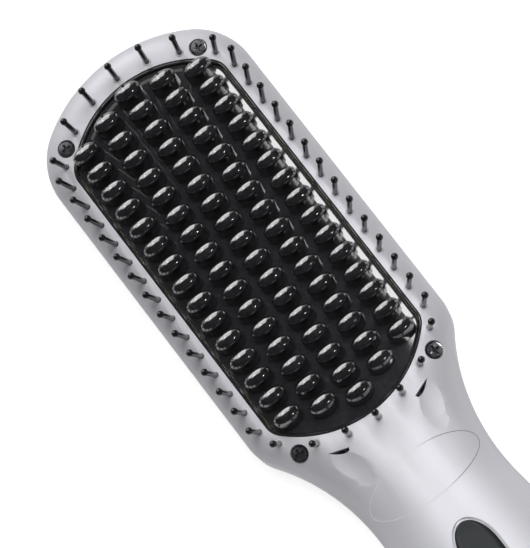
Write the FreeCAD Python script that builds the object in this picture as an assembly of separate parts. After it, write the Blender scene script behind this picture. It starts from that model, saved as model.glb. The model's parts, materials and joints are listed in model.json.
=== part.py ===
"""Steam hair straightener brush, lying on its back with the bristles up.

Millimetres. +X is across the brush, +Y points from the handle to the tip of the head, +Z points out of the
bristle side. The origin is the middle of the whole brush, on the surface that it lies on.
Places along the brush are stations: the distance from the tip of the head, measured towards the handle.
"""
import FreeCAD, Part
import math
import os
from FreeCAD import Vector

# ------------------------------------------------------------------ head, neck and handle outline
HEAD_WIDTH = 70.7
CROWN_RADIUS = 47.8          # wide arc across the tip of the head
CORNER_RADIUS = 20.5         # arcs from the crown into the straight sides
SHOULDER_RADIUS = 12.0       # convex arc where the sides turn into the neck
NECK_RADIUS = 66.0           # concave arcs either side of the waist
WAIST_WIDTH = 43.6
NECK_LENGTH = 29.8           # foot of the bed to the waist
GRIP_WIDTH = 49.2
GRIP_RUN = 41.5              # waist to the widest place of the grip
END_WIDTH = 37.0
GRIP_LENGTH = 84.0           # widest place of the grip to the end face of the handle
HEAD_JOIN_RUN = 60.0         # from the waist back to where the straight head begins
HEAD_LEVEL_RUN = 46.0        # from the waist back to where the heights begin to change
BLEND_RUN = 10.0             # from the waist back to where the edge rounding is an oval
GRIP_LEVEL_RUN = 26.0        # from the end back to where the back of the grip leaves the table
END_ROUND = 9.0              # length over which the end of the handle draws in
END_TAPER = 0.75

HEAD_STEP = 5.0              # between the sections that the body's skin runs through
SHOULDER_STEP = 2.0
HANDLE_STEP = 6.0
END_STEP = 1.5
SHOULDER_LEAD = 3.0          # the close sections begin before the shoulder and end after it
SHOULDER_TRAIL = 8.0

# ------------------------------------------------------------------ heights from the parting plane
HEAD_FRONT = 14.0
WAIST_FRONT = 14.5
GRIP_FRONT = 19.0
END_FRONT = 15.5
HEAD_BACK = 16.0
WAIST_BACK = 12.5
GRIP_BACK = 16.0
END_BACK = 13.5
FRONT_ROUND_WIDTH = 9.0      # bezel rounding of the head: width and height
FRONT_ROUND_HEIGHT = 5.0
BACK_ROUND_WIDTH = 12.0
BACK_ROUND_HEIGHT = 10.0
OVAL_FLAT = 3.0              # half of the flat left on the oval
OVAL_SIDE = 0.8              # straight side left on the oval
WALL = 2.2
ROUND_SHARE = 0.5523         # share of a quarter round at which a cubic's handles lie
PARTING_Z = HEAD_BACK

# ------------------------------------------------------------------ bed opening, rim, plate and tray
BEZEL_BORDER = 7.65          # side of the head to the bed opening
BED_START = 9.8
BED_LENGTH = 123.5
BED_CROWN = 36.0
BED_FOOT = 36.0
BED_CROWN_CORNER = 6.5
BED_FOOT_CORNER = 6.0
RIM_GAP = 0.3                # slot between the shell and the rim
RIM_WALL = 0.7
RIM_BELOW_BEZEL = 0.1
RIM_FLANGE_REACH = 0.6       # how far the flange goes under the shell
RIM_FLANGE_THICKNESS = 1.0
RIM_FLANGE_GAP = 0.6
RIM_CREST_ROUND = 0.3
PLATE_GAP = 0.2
PLATE_EDGE = 0.3             # rolled upper edge of the plate
PLATE_THICKNESS = 3.0
BED_RECESS = 0.8
TRAY_WALL = 3.0
TRAY_DEPTH = 6.5
TRAY_FLOOR = 1.2
TRAY_POST_RADIUS = 3.0
TRAY_POST_X = 14.0
TRAY_POST_INSET = 21.0       # from each end of the bed

# ------------------------------------------------------------------ heated studs and guard pins
STUD_ACROSS = 8.7
STUD_ALONG = 4.9
STUD_HEIGHT = 12.8
STUD_DOME = 2.4
STUD_PITCH = 7.0
STUD_END_MARGIN = 5.5        # from each end of the bed to the middle column
STUD_SIDE_MARGIN = 7.25      # from each side of the bed to the outer columns
STUD_COLUMNS = 5
PIN_RADIUS = 0.8
PIN_BALL = 1.1
PIN_HEIGHT = 13.7            # bezel surface to the top of the ball
PIN_FOOT_RADIUS = 1.15
PIN_FOOT_THICKNESS = 0.6
PIN_HOLE_CLEARANCE = 0.04
PIN_SEAT_GAP = 0.25          # under the wall, whose inner face slopes
PIN_OFFSET = 2.25            # from the edge of the bed opening to the pins
PIN_PITCH = 7.05
PIN_END_MARGIN = 15.4        # least distance from the ends of the bed to the side pins
PIN_SHIFT = 0.3              # the side pins lie this much nearer to the foot
PIN_CROWN_ANGLE = 15.2
PIN_FOOT_ANGLE = 14.7
PIN_CORNER_ANGLE = 41.0      # of the corner pins, from straight across
PIN_FOOT_CORNER_ANGLE = 46.0
PIN_SIDE_LEAN = 8.0          # all leans in degrees: outward
PIN_FAN = (5.0, -1.0)        # towards the tip: the first and the last of the side pins
PIN_CROWN_LEANS = (4.5, 6.0, 6.0)        # outward, from the middle of the crown
PIN_FOOT_LEANS = (2.2, 2.2, 7.5)
PIN_CORNER_LEAN = (7.2, 2.2)             # across and along
PIN_FOOT_CORNER_LEAN = (5.0, 5.4)

# ------------------------------------------------------------------ screws
HEAD_SCREW_SIDE = 10.75      # from the side of the head
HEAD_SCREW_TIP_INSET = 5.2   # from the ends of the bed
HEAD_SCREW_FOOT_INSET = 3.5
SCREW_HEAD_RADIUS = 2.5
SCREW_HEAD_THICKNESS = 1.7
SCREW_SHANK_RADIUS = 1.25
SCREW_LENGTH = 12.0
SCREW_HEAD_EDGE = 0.4
SCREW_SUNK = 0.3
SCREW_TIP_GAP = 1.0
SCREW_SLOT_WIDTH = 0.6
SCREW_SLOT_LENGTH = 3.0
SCREW_SLOT_DEPTH = 0.9
SCREW_HEAD_CLEARANCE = 0.35
SCREW_SHANK_CLEARANCE = 0.05
SCREW_PAD_RADIUS = 3.4
SCREW_PAD_DEPTH = 2.0        # pad below the head's seat
SCREW_BOSS_RADIUS = 2.6
SCREW_BOSS_GAP = 0.1         # between a boss of the rear shell and the wall of the front shell
REAR_BOSS_RADIUS = 3.6       # round the counterbore of a rear screw
REAR_SCREW_X = 16.5
REAR_SCREW_RUN = 16.0        # from the widest place of the grip towards the waist
REAR_SCREW_HEAD_Z = 9.0

# ------------------------------------------------------------------ steam path
SLIT_TIP = (18.0, 1.7)       # points of a steam slit: across, and past the foot of the bed
SLIT_NEAR_EDGE = (15.25, 2.7)
SLIT_ENDS = ((12.1, 3.9), (12.4, 4.7))
SLIT_FAR_EDGE = (14.8, 4.25)
SCOOP_RADIUS = 28.0          # bar that hollows the thumb relief behind each slit
SCOOP_DEPTH = 0.55
SCOOP_X = 14.6
SCOOP_RUN = (8.6, 10.1)      # its middle line, past the foot of the bed
BOILER_WIDTH = 24.0
BOILER_LENGTH = 20.0
BOILER_HEIGHT = 9.0
BOILER_OFFSET = 6.3          # from the foot of the bed
BOILER_Z = 7.5
BOILER_EDGE = 1.0
BOILER_HEATER_RADIUS = 2.0
BOILER_HEATER_OFFSET = 5.0   # from the front of the boiler
NOZZLE_X = 7.0
NOZZLE_OFFSET = 4.0          # from the front of the boiler
NOZZLE_RISE = 3.5
NOZZLE_BEND = 3.2
MOUTH_BELOW_SHELL = 0.3
HOSE_RADIUS = 2.2
HOSE_BORE = 1.2
PUMP_Z = 11.2
PUMP_RADIUS = 7.5
PUMP_LENGTH = 26.0
SUCTION_LENGTH = 10.0        # pump to tank
PUMP_EDGE = 1.0
PUMP_SEAT_CLEARANCE = 0.1
RIB_THICKNESS = 2.0          # of the ribs that carry the pump and the boiler
RIB_SHARES = (0.2, 0.8)      # where along a piece its two ribs stand
BOILER_RIB_HALF = 8.0
TANK_LENGTH = 46.0
TANK_END_GAP = 10.0          # to the end face of the handle
TANK_TOP_Z = 20.5
TANK_WALL = 1.2
TANK_CLEARANCE = 0.3
FILLER_INSET = 12.0          # from the end of the tank
FILLER_BORE = 3.4
FILLER_TUBE = 4.6
FILLER_HOLE_CLEARANCE = 0.15
FILLER_SEAT_RADIUS = 6.5
FILLER_SEAT_DEPTH = 0.9
GASKET_RADIUS = 6.0
GASKET_THICKNESS = 1.1
GASKET_COLLAR = 0.9
PLUG_HEAD_RADIUS = 6.1
PLUG_HEAD_THICKNESS = 1.7
PLUG_STEM_LENGTH = 5.0
PLUG_FIT = 0.05
PLUG_TAB_LENGTH = 4.0
PLUG_TAB_WIDTH = 5.0
PLUG_TAB_THICKNESS = 0.9
PLUG_TAB_LIFT = 0.3
PLUG_EDGE = 0.5

# ------------------------------------------------------------------ control panel and electronics
PANEL_WIDTH = 11.6
PANEL_LENGTH = 80.3
PANEL_TIP = 10.0             # length of the half oval at each end
PANEL_FILLER_GAP = 12.0      # end of the panel to the middle of the filler
PANEL_GAP = 0.15
PANEL_SUNK = 0.35
PANEL_THICKNESS = 2.0
PANEL_BEVEL = 1.0
PANEL_BEVEL_DEPTH = 0.6
PANEL_FLANGE = 1.8
PANEL_FLANGE_THICKNESS = 1.0
LENS_WIDTH = 8.4
LENS_LENGTH = 15.0
LENS_INSET = 28.0            # from the start of the panel
LENS_THICKNESS = 1.2
LENS_LEDGE = 1.0
LENS_CORNER = 1.2
LENS_GAP = 0.1
BUTTON_RADIUS = 3.9
BUTTON_GAP = 0.3
BUTTON_PROUD = 0.4
BUTTON_FLANGE = 0.8
BUTTON_FLANGE_THICKNESS = 0.9
BUTTON_STEM_RADIUS = 2.0
BUTTON_TRAVEL = 0.5
BUTTON_PITCH = 10.0
BUTTON_INSET = 9.0           # from the end of the panel to the last button
BUTTON_NAMES = ("power_button", "minus_button", "plus_button", "steam_button")
BOARD_WIDTH = 23.0
BOARD_INSET = 2.0            # shorter than the panel at each end
BOARD_TOP_Z = 24.0
BOARD_THICKNESS = 1.6
BOARD_SCREW_X = 9.0
BOARD_SCREW_INSET = 3.0
BOARD_PILLAR_RADIUS = 2.0
BOARD_SCREW_RADIUS = 0.9
BOARD_SCREW_GRIP = 3.0
BOARD_SCREW_HEAD_RADIUS = 1.8
BOARD_SCREW_HEAD_THICKNESS = 1.0
BOARD_SCREW_TIP_GAP = 0.5
SWITCH_SIZE = 6.0
SWITCH_HEIGHT = 3.4
SWITCH_PLUNGER_RADIUS = 1.7
SWITCH_PLUNGER_HEIGHT = 0.6
SWITCH_SLACK = 0.05
DISPLAY_SIDE = 0.6           # wider than the lens by this on each side
DISPLAY_GAP = 0.4            # below the panel

# ------------------------------------------------------------------ heaters
HEATER_WIDTH = 11.0
HEATER_END_MARGIN = 12.9     # from the tip end of the bed
HEATER_FOOT_MARGIN = 13.7    # from the foot end of the bed
HEATER_THICKNESS = 2.0
HEATER_X = 8.5
MICA_THICKNESS = 0.4
CLAMP_THICKNESS = 0.6
CLAMP_FOOT = 6.0
CLAMP_FOOT_THICKNESS = 1.2
STACK_SIDE = 1.2             # sheets reach this far past the heaters
STACK_MARGIN = 2.0
FUSE_RADIUS = 1.5
FUSE_LENGTH = 10.0
FUSE_INSET = 38.0            # from the tip end of the heaters
THERMISTOR_RADIUS = 1.1
THERMISTOR_LENGTH = 4.0
THERMISTOR_INSET = 58.0
SENSOR_WINDOW_WIDTH = 4.4
SENSOR_WINDOW_MARGIN = 1.0
TOUCH = 0.02
NORMAL_STEP = 0.5            # over which a surface's slope is taken
LEAD_RADIUS = 0.8
LEAD_X = 6.0
LEAD_LANDING = 2.0           # length that reaches over the circuit board
LEAD_HOLE_CLEARANCE = 0.3

# ------------------------------------------------------------------ cord swivel
SWIVEL_RADIUS = 5.0
SWIVEL_CLEARANCE = 0.06
SWIVEL_BORE = 3.1
SWIVEL_NOSE = 6.0
SWIVEL_NOSE_RADIUS = 4.3
SWIVEL_COLLAR_RADIUS = 6.6
SWIVEL_COLLAR_LENGTH = 1.8
SWIVEL_COLLAR_GAP = 0.3
SWIVEL_FLANGE_RADIUS = 6.4
SWIVEL_FLANGE_LENGTH = 2.2
SWIVEL_FLANGE_GAP = 0.15

# ------------------------------------------------------------------ derived places
BED_WIDTH = HEAD_WIDTH - 2 * BEZEL_BORDER
BED_END = BED_START + BED_LENGTH
WAIST_AT = BED_END + NECK_LENGTH
GRIP_AT = WAIST_AT + GRIP_RUN
SHELL_LENGTH = GRIP_AT + GRIP_LENGTH
HEAD_JOIN = WAIST_AT - HEAD_JOIN_RUN
HEAD_LEVEL_END = WAIST_AT - HEAD_LEVEL_RUN
BLEND_END = WAIST_AT - BLEND_RUN
GRIP_LEVEL_END = SHELL_LENGTH - GRIP_LEVEL_RUN
TOTAL_LENGTH = SHELL_LENGTH + SWIVEL_NOSE
TIP_Y = TOTAL_LENGTH / 2
BEZEL_Z = PARTING_Z + HEAD_FRONT
PLATE_TOP_Z = BEZEL_Z - BED_RECESS
PLATE_Z = PLATE_TOP_Z - PLATE_THICKNESS
TRAY_Z = PLATE_Z - TRAY_DEPTH
HEATER_Z = PLATE_Z - HEATER_THICKNESS
MICA_Z = HEATER_Z - MICA_THICKNESS
CLAMP_Z = MICA_Z - CLAMP_THICKNESS
LEAD_Z = PLATE_Z - HEATER_THICKNESS / 2
HEATER_START = BED_START + HEATER_END_MARGIN
HEATER_LENGTH = BED_LENGTH - HEATER_END_MARGIN - HEATER_FOOT_MARGIN
FUSE_STATION = HEATER_START + FUSE_INSET
THERMISTOR_STATION = HEATER_START + THERMISTOR_INSET
STACK_REACH = HEATER_X + HEATER_WIDTH / 2 + STACK_SIDE
TRAY_POST_STATIONS = (BED_START + TRAY_POST_INSET, BED_END - TRAY_POST_INSET)
HEAD_SCREW_X = HEAD_WIDTH / 2 - HEAD_SCREW_SIDE
HEAD_SCREW_STATIONS = (BED_START + HEAD_SCREW_TIP_INSET, BED_END - HEAD_SCREW_FOOT_INSET)
REAR_SCREW_STATION = GRIP_AT - REAR_SCREW_RUN
STUD_COLUMN_PITCH = (BED_WIDTH - 2 * STUD_SIDE_MARGIN) / (STUD_COLUMNS - 1)
STUD_MIDDLE_COUNT = int((BED_LENGTH - 2 * STUD_END_MARGIN) / STUD_PITCH) + 1
PIN_SIDE_COUNT = int((BED_LENGTH - 2 * PIN_END_MARGIN) / PIN_PITCH) + 1
PIN_SIDE_START = BED_START + (BED_LENGTH - (PIN_SIDE_COUNT - 1) * PIN_PITCH) / 2 + PIN_SHIFT
BOILER_START = BED_END + BOILER_OFFSET
NOZZLE_STATION = BOILER_START + NOZZLE_OFFSET
TANK_END = SHELL_LENGTH - TANK_END_GAP
TANK_START = TANK_END - TANK_LENGTH
PUMP_START = TANK_START - SUCTION_LENGTH - PUMP_LENGTH
FILLER_STATION = TANK_END - FILLER_INSET
PANEL_END = FILLER_STATION - PANEL_FILLER_GAP
PANEL_START = PANEL_END - PANEL_LENGTH
LENS_STATION = PANEL_START + LENS_INSET
BUTTON_STATIONS = {name: PANEL_END - BUTTON_INSET - BUTTON_PITCH * i for i, name in enumerate(BUTTON_NAMES)}
BOARD_START = PANEL_START + BOARD_INSET
BOARD_END = PANEL_END - BOARD_INSET
BOARD_SCREW_STATIONS = (BOARD_START + BOARD_SCREW_INSET, BOARD_END - BOARD_SCREW_INSET)
SIDE_STATIONS = {1: ((HEAD_LEVEL_END, HEAD_FRONT), (WAIST_AT, WAIST_FRONT),
                     (GRIP_AT, GRIP_FRONT), (SHELL_LENGTH, END_FRONT)),
                 -1: ((HEAD_LEVEL_END, HEAD_BACK), (WAIST_AT, WAIST_BACK), (GRIP_AT, GRIP_BACK),
                      (GRIP_LEVEL_END, GRIP_BACK), (SHELL_LENGTH, END_BACK))}
SIDE_ROUND = {1: (FRONT_ROUND_WIDTH, FRONT_ROUND_HEIGHT), -1: (BACK_ROUND_WIDTH, BACK_ROUND_HEIGHT)}
FRONT = 1
BACK = -1
BIG = 200.0
UP = Vector(0, 0, 1)
ORIGIN = Vector(0, 0, 0)


def at(x, station, z=0.0):
    """A point from its place across, its station and its height."""
    return Vector(x, TIP_Y - station, z)


# ------------------------------------------------------------------ the outer form
def smooth(share):
    share = max(0.0, min(1.0, share))
    return share * share * (3 - 2 * share)


def eased(station, levels):
    """Height at a station, easing from one level to the next."""
    for (start, low), (end, high) in zip(levels, levels[1:]):
        if station <= end:
            return low + (high - low) * smooth((station - start) / (end - start))
    return levels[-1][1]


def shoulder():
    """Centre of the shoulder arc and the station where it meets the neck arc."""
    centre_x = HEAD_WIDTH / 2 - SHOULDER_RADIUS
    reach = NECK_RADIUS + SHOULDER_RADIUS
    run = math.sqrt(reach ** 2 - (WAIST_WIDTH / 2 + NECK_RADIUS - centre_x) ** 2)
    start = WAIST_AT - run
    return centre_x, start, start + SHOULDER_RADIUS * run / reach


def half_width(station):
    """Half of the plan width: straight head, shoulder, neck, grip and tail arcs, all tangent."""
    shoulder_x, shoulder_start, shoulder_end = shoulder()
    if station <= shoulder_start:
        return HEAD_WIDTH / 2
    if station <= shoulder_end:
        return shoulder_x + math.sqrt(SHOULDER_RADIUS ** 2 - (station - shoulder_start) ** 2)
    neck_x = WAIST_WIDTH / 2 + NECK_RADIUS
    run = GRIP_AT - WAIST_AT
    across = neck_x - GRIP_WIDTH / 2
    grip_radius = (run ** 2 + across ** 2 - NECK_RADIUS ** 2) / (2 * (NECK_RADIUS - across))
    if station <= WAIST_AT + run * NECK_RADIUS / (NECK_RADIUS + grip_radius):
        return neck_x - math.sqrt(NECK_RADIUS ** 2 - (station - WAIST_AT) ** 2)
    if station <= GRIP_AT:
        return GRIP_WIDTH / 2 - grip_radius + math.sqrt(grip_radius ** 2 - (station - GRIP_AT) ** 2)
    drop = (GRIP_WIDTH - END_WIDTH) / 2
    tail = ((SHELL_LENGTH - GRIP_AT) ** 2 + drop ** 2) / (2 * drop)
    return GRIP_WIDTH / 2 - tail + math.sqrt(tail ** 2 - (station - GRIP_AT) ** 2)


def section_sizes(station, side, inset):
    """Half width, height, and the width and height of the edge rounding, of one half's section."""
    share = max(0.0, station + inset - SHELL_LENGTH + END_ROUND) / END_ROUND
    draw_in = math.sqrt(max(0.0, 1 - (END_TAPER * share) ** 2))
    width = half_width(station) * draw_in - inset
    height = eased(station, SIDE_STATIONS[side]) * draw_in - inset
    blend = smooth((station - HEAD_LEVEL_END) / (BLEND_END - HEAD_LEVEL_END))
    round_width, round_height = (size - inset for size in SIDE_ROUND[side])
    round_width += (width - OVAL_FLAT - round_width) * blend
    round_height += (height - OVAL_SIDE - round_height) * blend
    return width, height, round_width, round_height


def rounding(start, end, corner):
    """A quarter round from start to end, inside the square corner."""
    curve = Part.BezierCurve()
    curve.setPoles([start, start + (corner - start) * ROUND_SHARE, end + (corner - end) * ROUND_SHARE, end])
    return curve.toShape()


def section_poles(station, side, inset):
    """Control points of a section, from one end of the parting line over the top to the other."""
    width, height, round_width, round_height = section_sizes(station, side, inset)
    shape = ((-width, 0.0), (-width, height - round_height),
             (-width, height - round_height * (1 - ROUND_SHARE)),
             (-width + round_width * (1 - ROUND_SHARE), height), (-width + round_width, height))
    left = [at(x, station, PARTING_Z + side * rise) for x, rise in shape]
    return left + [Vector(-p.x, p.y, p.z) for p in reversed(left)]


def section_face(poles):
    edges = [Part.makeLine(poles[0], poles[1]), Part.makeLine(poles[4], poles[5]),
             Part.makeLine(poles[8], poles[9]), Part.makeLine(poles[9], poles[0])]
    for start in (1, 5):
        curve = Part.BezierCurve()
        curve.setPoles(poles[start:start + 4])
        edges.append(curve.toShape())
    return Part.Face(Part.Wire(Part.__sortEdges__(edges)))


def body_stations(inset, first):
    """Stations of the sections: close together at the shoulder and at the end, wider between."""
    shoulder_start, shoulder_end = shoulder()[1:]
    end = SHELL_LENGTH - inset
    stops = [first]
    for station, step in ((shoulder_start - SHOULDER_LEAD, HEAD_STEP),
                          (shoulder_end + SHOULDER_TRAIL, SHOULDER_STEP),
                          (end - END_ROUND, HANDLE_STEP), (end, END_STEP)):
        start = stops[-1]
        if station > start:
            count = max(1, round((station - start) / step))
            stops += [start + (station - start) * i / count for i in range(1, count + 1)]
    return stops


def body_half(side, inset, first=HEAD_JOIN):
    """Neck and handle on one side of the parting plane, taken in by inset all over."""
    stops = body_stations(inset, first)
    rows = [section_poles(station, side, inset) for station in stops]
    curves = []
    for column in range(len(rows[0])):
        curve = Part.BSplineCurve()
        curve.interpolate(Points=[row[column] for row in rows], Parameters=stops)
        curves.append(curve)
    faces = []
    for first_pole, last_pole in ((0, 1), (1, 4), (4, 5), (5, 8), (8, 9)):
        degree = last_pole - first_pole
        surface = Part.BSplineSurface()
        surface.buildFromPolesMultsKnots(
            [curve.getPoles() for curve in curves[first_pole:last_pole + 1]],
            (degree + 1, degree + 1), curves[0].getMultiplicities(),
            (0.0, 1.0), curves[0].getKnots(), False, False, degree, curves[0].Degree)
        faces.append(surface.toShape())
    flat = [Part.makeLine(rows[0][0], rows[0][-1]), curves[-1].toShape(),
            Part.makeLine(rows[-1][-1], rows[-1][0]), curves[0].toShape()]
    faces.append(Part.Face(Part.Wire(Part.__sortEdges__(flat))))
    faces += [section_face(rows[0]), section_face(rows[-1])]
    skin = Part.makeShell(faces)
    skin.sewShape()
    solid = Part.makeSolid(skin)
    if solid.Volume < 0:
        solid.reverse()
    return solid


def crown_geometry():
    """Place of the corner arcs' centre, across and along, and the angle where they meet the crown."""
    corner_x = HEAD_WIDTH / 2 - CORNER_RADIUS
    drop = math.sqrt((CROWN_RADIUS - CORNER_RADIUS) ** 2 - corner_x ** 2)
    return corner_x, CROWN_RADIUS - drop, math.degrees(math.atan2(drop, corner_x))


def edge_profile(radius, side, inset):
    """Section of the head's edge, standing at a radius from the Z axis."""
    height = (HEAD_FRONT if side == FRONT else HEAD_BACK) - inset
    round_width, round_height = (size - inset for size in SIDE_ROUND[side])

    def place(inward, rise):
        return Vector(radius - inward, 0, PARTING_Z + side * rise)

    edges = [Part.makeLine(place(0, 0), place(0, height - round_height)),
             rounding(place(0, height - round_height), place(round_width, height), place(0, height)),
             Part.makeLine(place(round_width, height), place(round_width, 0)),
             Part.makeLine(place(round_width, 0), place(0, 0))]
    return Part.Face(Part.Wire(edges))


def arc(centre, radius, start, end):
    """Arc in the plane of the brush, from a centre, a radius and two angles in degrees."""
    points = []
    for angle in (start, (start + end) / 2, end):
        turn = math.radians(angle)
        points.append(centre + Vector(radius * math.cos(turn), radius * math.sin(turn), 0))
    return Part.Arc(*points).toShape()


def head_half(side, inset):
    """Straight sides, corners and crown of the head on one side of the parting plane."""
    corner_x, corner_station, meet = crown_geometry()
    round_width = SIDE_ROUND[side][0] - inset
    height = (HEAD_FRONT if side == FRONT else HEAD_BACK) - inset
    straight = edge_profile(HEAD_WIDTH / 2 - inset, side, inset)
    straight.translate(at(0, HEAD_JOIN))
    straight = straight.extrude(Vector(0, HEAD_JOIN - corner_station, 0))
    corner = edge_profile(CORNER_RADIUS - inset, side, inset).revolve(ORIGIN, UP, meet)
    corner.translate(at(corner_x, corner_station))
    crown = edge_profile(CROWN_RADIUS - inset, side, inset)
    crown.rotate(ORIGIN, UP, meet)
    crown = crown.revolve(ORIGIN, UP, 180 - 2 * meet)
    crown.translate(at(0, CROWN_RADIUS))
    edge_x = HEAD_WIDTH / 2 - inset - round_width
    corner_radius = CORNER_RADIUS - inset - round_width
    crown_radius = CROWN_RADIUS - inset - round_width
    outline = [Part.makeLine(at(edge_x, HEAD_JOIN, PARTING_Z), at(edge_x, corner_station, PARTING_Z)),
               arc(at(corner_x, corner_station, PARTING_Z), corner_radius, 0, meet),
               arc(at(0, CROWN_RADIUS, PARTING_Z), crown_radius, meet, 180 - meet),
               arc(at(-corner_x, corner_station, PARTING_Z), corner_radius, 180 - meet, 180),
               Part.makeLine(at(-edge_x, corner_station, PARTING_Z), at(-edge_x, HEAD_JOIN, PARTING_Z)),
               Part.makeLine(at(-edge_x, HEAD_JOIN, PARTING_Z), at(edge_x, HEAD_JOIN, PARTING_Z))]
    core = Part.Face(Part.Wire(outline)).extrude(UP * side * height)
    across = Vector(1, 0, 0)
    pieces = [straight, straight.mirror(ORIGIN, across), corner, corner.mirror(ORIGIN, across), crown]
    return core.multiFuse(pieces).removeSplitter()


def form(side, inset):
    """The whole brush body on one side of the parting plane, taken in by inset."""
    return head_half(side, inset).fuse(body_half(side, inset)).removeSplitter()


def edge_distance(x, station):
    """Distance in plan from a point to the outline of the head."""
    corner_x, corner_station, meet = crown_geometry()
    if station >= corner_station:
        return half_width(station) - abs(x)
    angle = math.degrees(math.atan2(CROWN_RADIUS - station, abs(x)))
    if angle > meet:
        return CROWN_RADIUS - math.hypot(x, CROWN_RADIUS - station)
    return CORNER_RADIUS - math.hypot(max(0.0, abs(x) - corner_x), corner_station - station)


def surface_z(x, station, side=FRONT, inset=0.0):
    """Height of the outer surface, or of a surface inside it, over a point in plan."""
    width, height, round_width, round_height = section_sizes(station, side, inset)
    distance = edge_distance(x, station) - inset
    lean = max(0.0, 1 - distance / round_width)
    return PARTING_Z + side * (height - round_height + round_height * math.sqrt(max(0.0, 1 - lean ** 2)))


def front_normal(x, station):
    """Outward direction of the front surface over a point in plan."""
    across = surface_z(x + NORMAL_STEP, station) - surface_z(x - NORMAL_STEP, station)
    along = surface_z(x, station + NORMAL_STEP) - surface_z(x, station - NORMAL_STEP)
    return Vector(-across, along, 2 * NORMAL_STEP).normalize()


# ------------------------------------------------------------------ helpers
def cylinder(radius, start, end):
    """Round bar between two points."""
    return Part.makeCylinder(radius, (end - start).Length, start, end - start)


def post(radius, x, station, low, high):
    return cylinder(radius, at(x, station, low), at(x, station, high))


def block(x_low, x_high, station_low, station_high, z_low, z_high):
    return Part.makeBox(x_high - x_low, station_high - station_low, z_high - z_low,
                        at(x_low, station_high, z_low))


def upright_edges(shape):
    return [edge for edge in shape.Edges if abs(edge.tangentAt(0).z) > 1 - TOUCH]


def edges_above(shape, z):
    return [edge for edge in shape.Edges if min(vertex.Z for vertex in edge.Vertexes) > z - TOUCH]


def one_solid(shape):
    """The largest solid of a shape, with split faces joined again."""
    return max(shape.removeSplitter().Solids, key=lambda solid: solid.Volume)


def bed_outline(inset, z):
    """Outline of the bed opening, taken in by inset: two sides, four corners, a crown and a foot."""
    half = BED_WIDTH / 2
    edges = []
    corners = []
    for centre_station, radius, corner_radius, heading in (
            (BED_START + BED_CROWN, BED_CROWN, BED_CROWN_CORNER, 1),
            (BED_END - BED_FOOT, BED_FOOT, BED_FOOT_CORNER, -1)):
        corner_x = half - corner_radius
        drop = math.sqrt((radius - corner_radius) ** 2 - corner_x ** 2)
        meet = math.degrees(math.atan2(drop, corner_x)) * heading
        corner_station = centre_station - drop * heading
        corners.append(corner_station)
        edges.append(arc(at(corner_x, corner_station, z), corner_radius - inset, 0, meet))
        edges.append(arc(at(0, centre_station, z), radius - inset, meet, 180 * heading - meet))
        edges.append(arc(at(-corner_x, corner_station, z), corner_radius - inset,
                         180 * heading - meet, 180 * heading))
    for x in (half - inset, inset - half):
        edges.append(Part.makeLine(at(x, corners[0], z), at(x, corners[1], z)))
    return Part.Wire(Part.__sortEdges__(edges))


def bed_prism(inset, low, high):
    return Part.Face(bed_outline(inset, low)).extrude(UP * (high - low))


def panel_prism(grow):
    """Prism over the panel's outline, a slot with half-oval ends, made larger by grow all round."""
    half, run = PANEL_WIDTH / 2 + grow, PANEL_TIP + grow
    tips = (PANEL_START - grow, PANEL_END + grow)
    straight = (tips[0] + run, tips[1] - run)
    edges = []
    for hand, tip, centre in zip((1, -1), tips, straight):
        middle, side = at(0, centre, PARTING_Z), at(hand * half, centre, PARTING_Z)
        oval = Part.Ellipse(at(0, tip, PARTING_Z), side, middle)
        edges.append(Part.ArcOfEllipse(oval, -math.pi / 2, math.pi / 2).toShape())
        edges.append(Part.makeLine(*[at(hand * half, station, PARTING_Z) for station in straight]))
    return Part.Face(Part.Wire(Part.__sortEdges__(edges))).extrude(UP * BIG)


def layer(outer, inner):
    """Curved sheet of the handle's front between two insets."""
    return body_half(FRONT, outer).cut(body_half(FRONT, inner))


def tube(points, bend, outer, bore):
    """Hose through points, with arcs of one radius at its bends."""
    edges = []
    start = points[0]
    for before, corner, after in zip(points, points[1:], points[2:]):
        first, second = (before - corner).normalize(), (after - corner).normalize()
        half_turn = (math.pi - first.getAngle(second)) / 2
        run = bend * math.tan(half_turn)
        middle = (first + second).normalize()
        inner = corner + middle * (bend / math.cos(half_turn) - bend)
        edges += [Part.makeLine(start, corner + first * run),
                  Part.Arc(corner + first * run, inner, corner + second * run).toShape()]
        start = corner + second * run
    edges.append(Part.makeLine(start, points[-1]))
    path = Part.Wire(edges)
    solids = []
    for radius in (outer, bore):
        ring = Part.Wire(Part.makeCircle(radius, points[0], points[1] - points[0]))
        solids.append(path.makePipeShell([ring], True, False))
    return solids[0].cut(solids[1])


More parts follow.
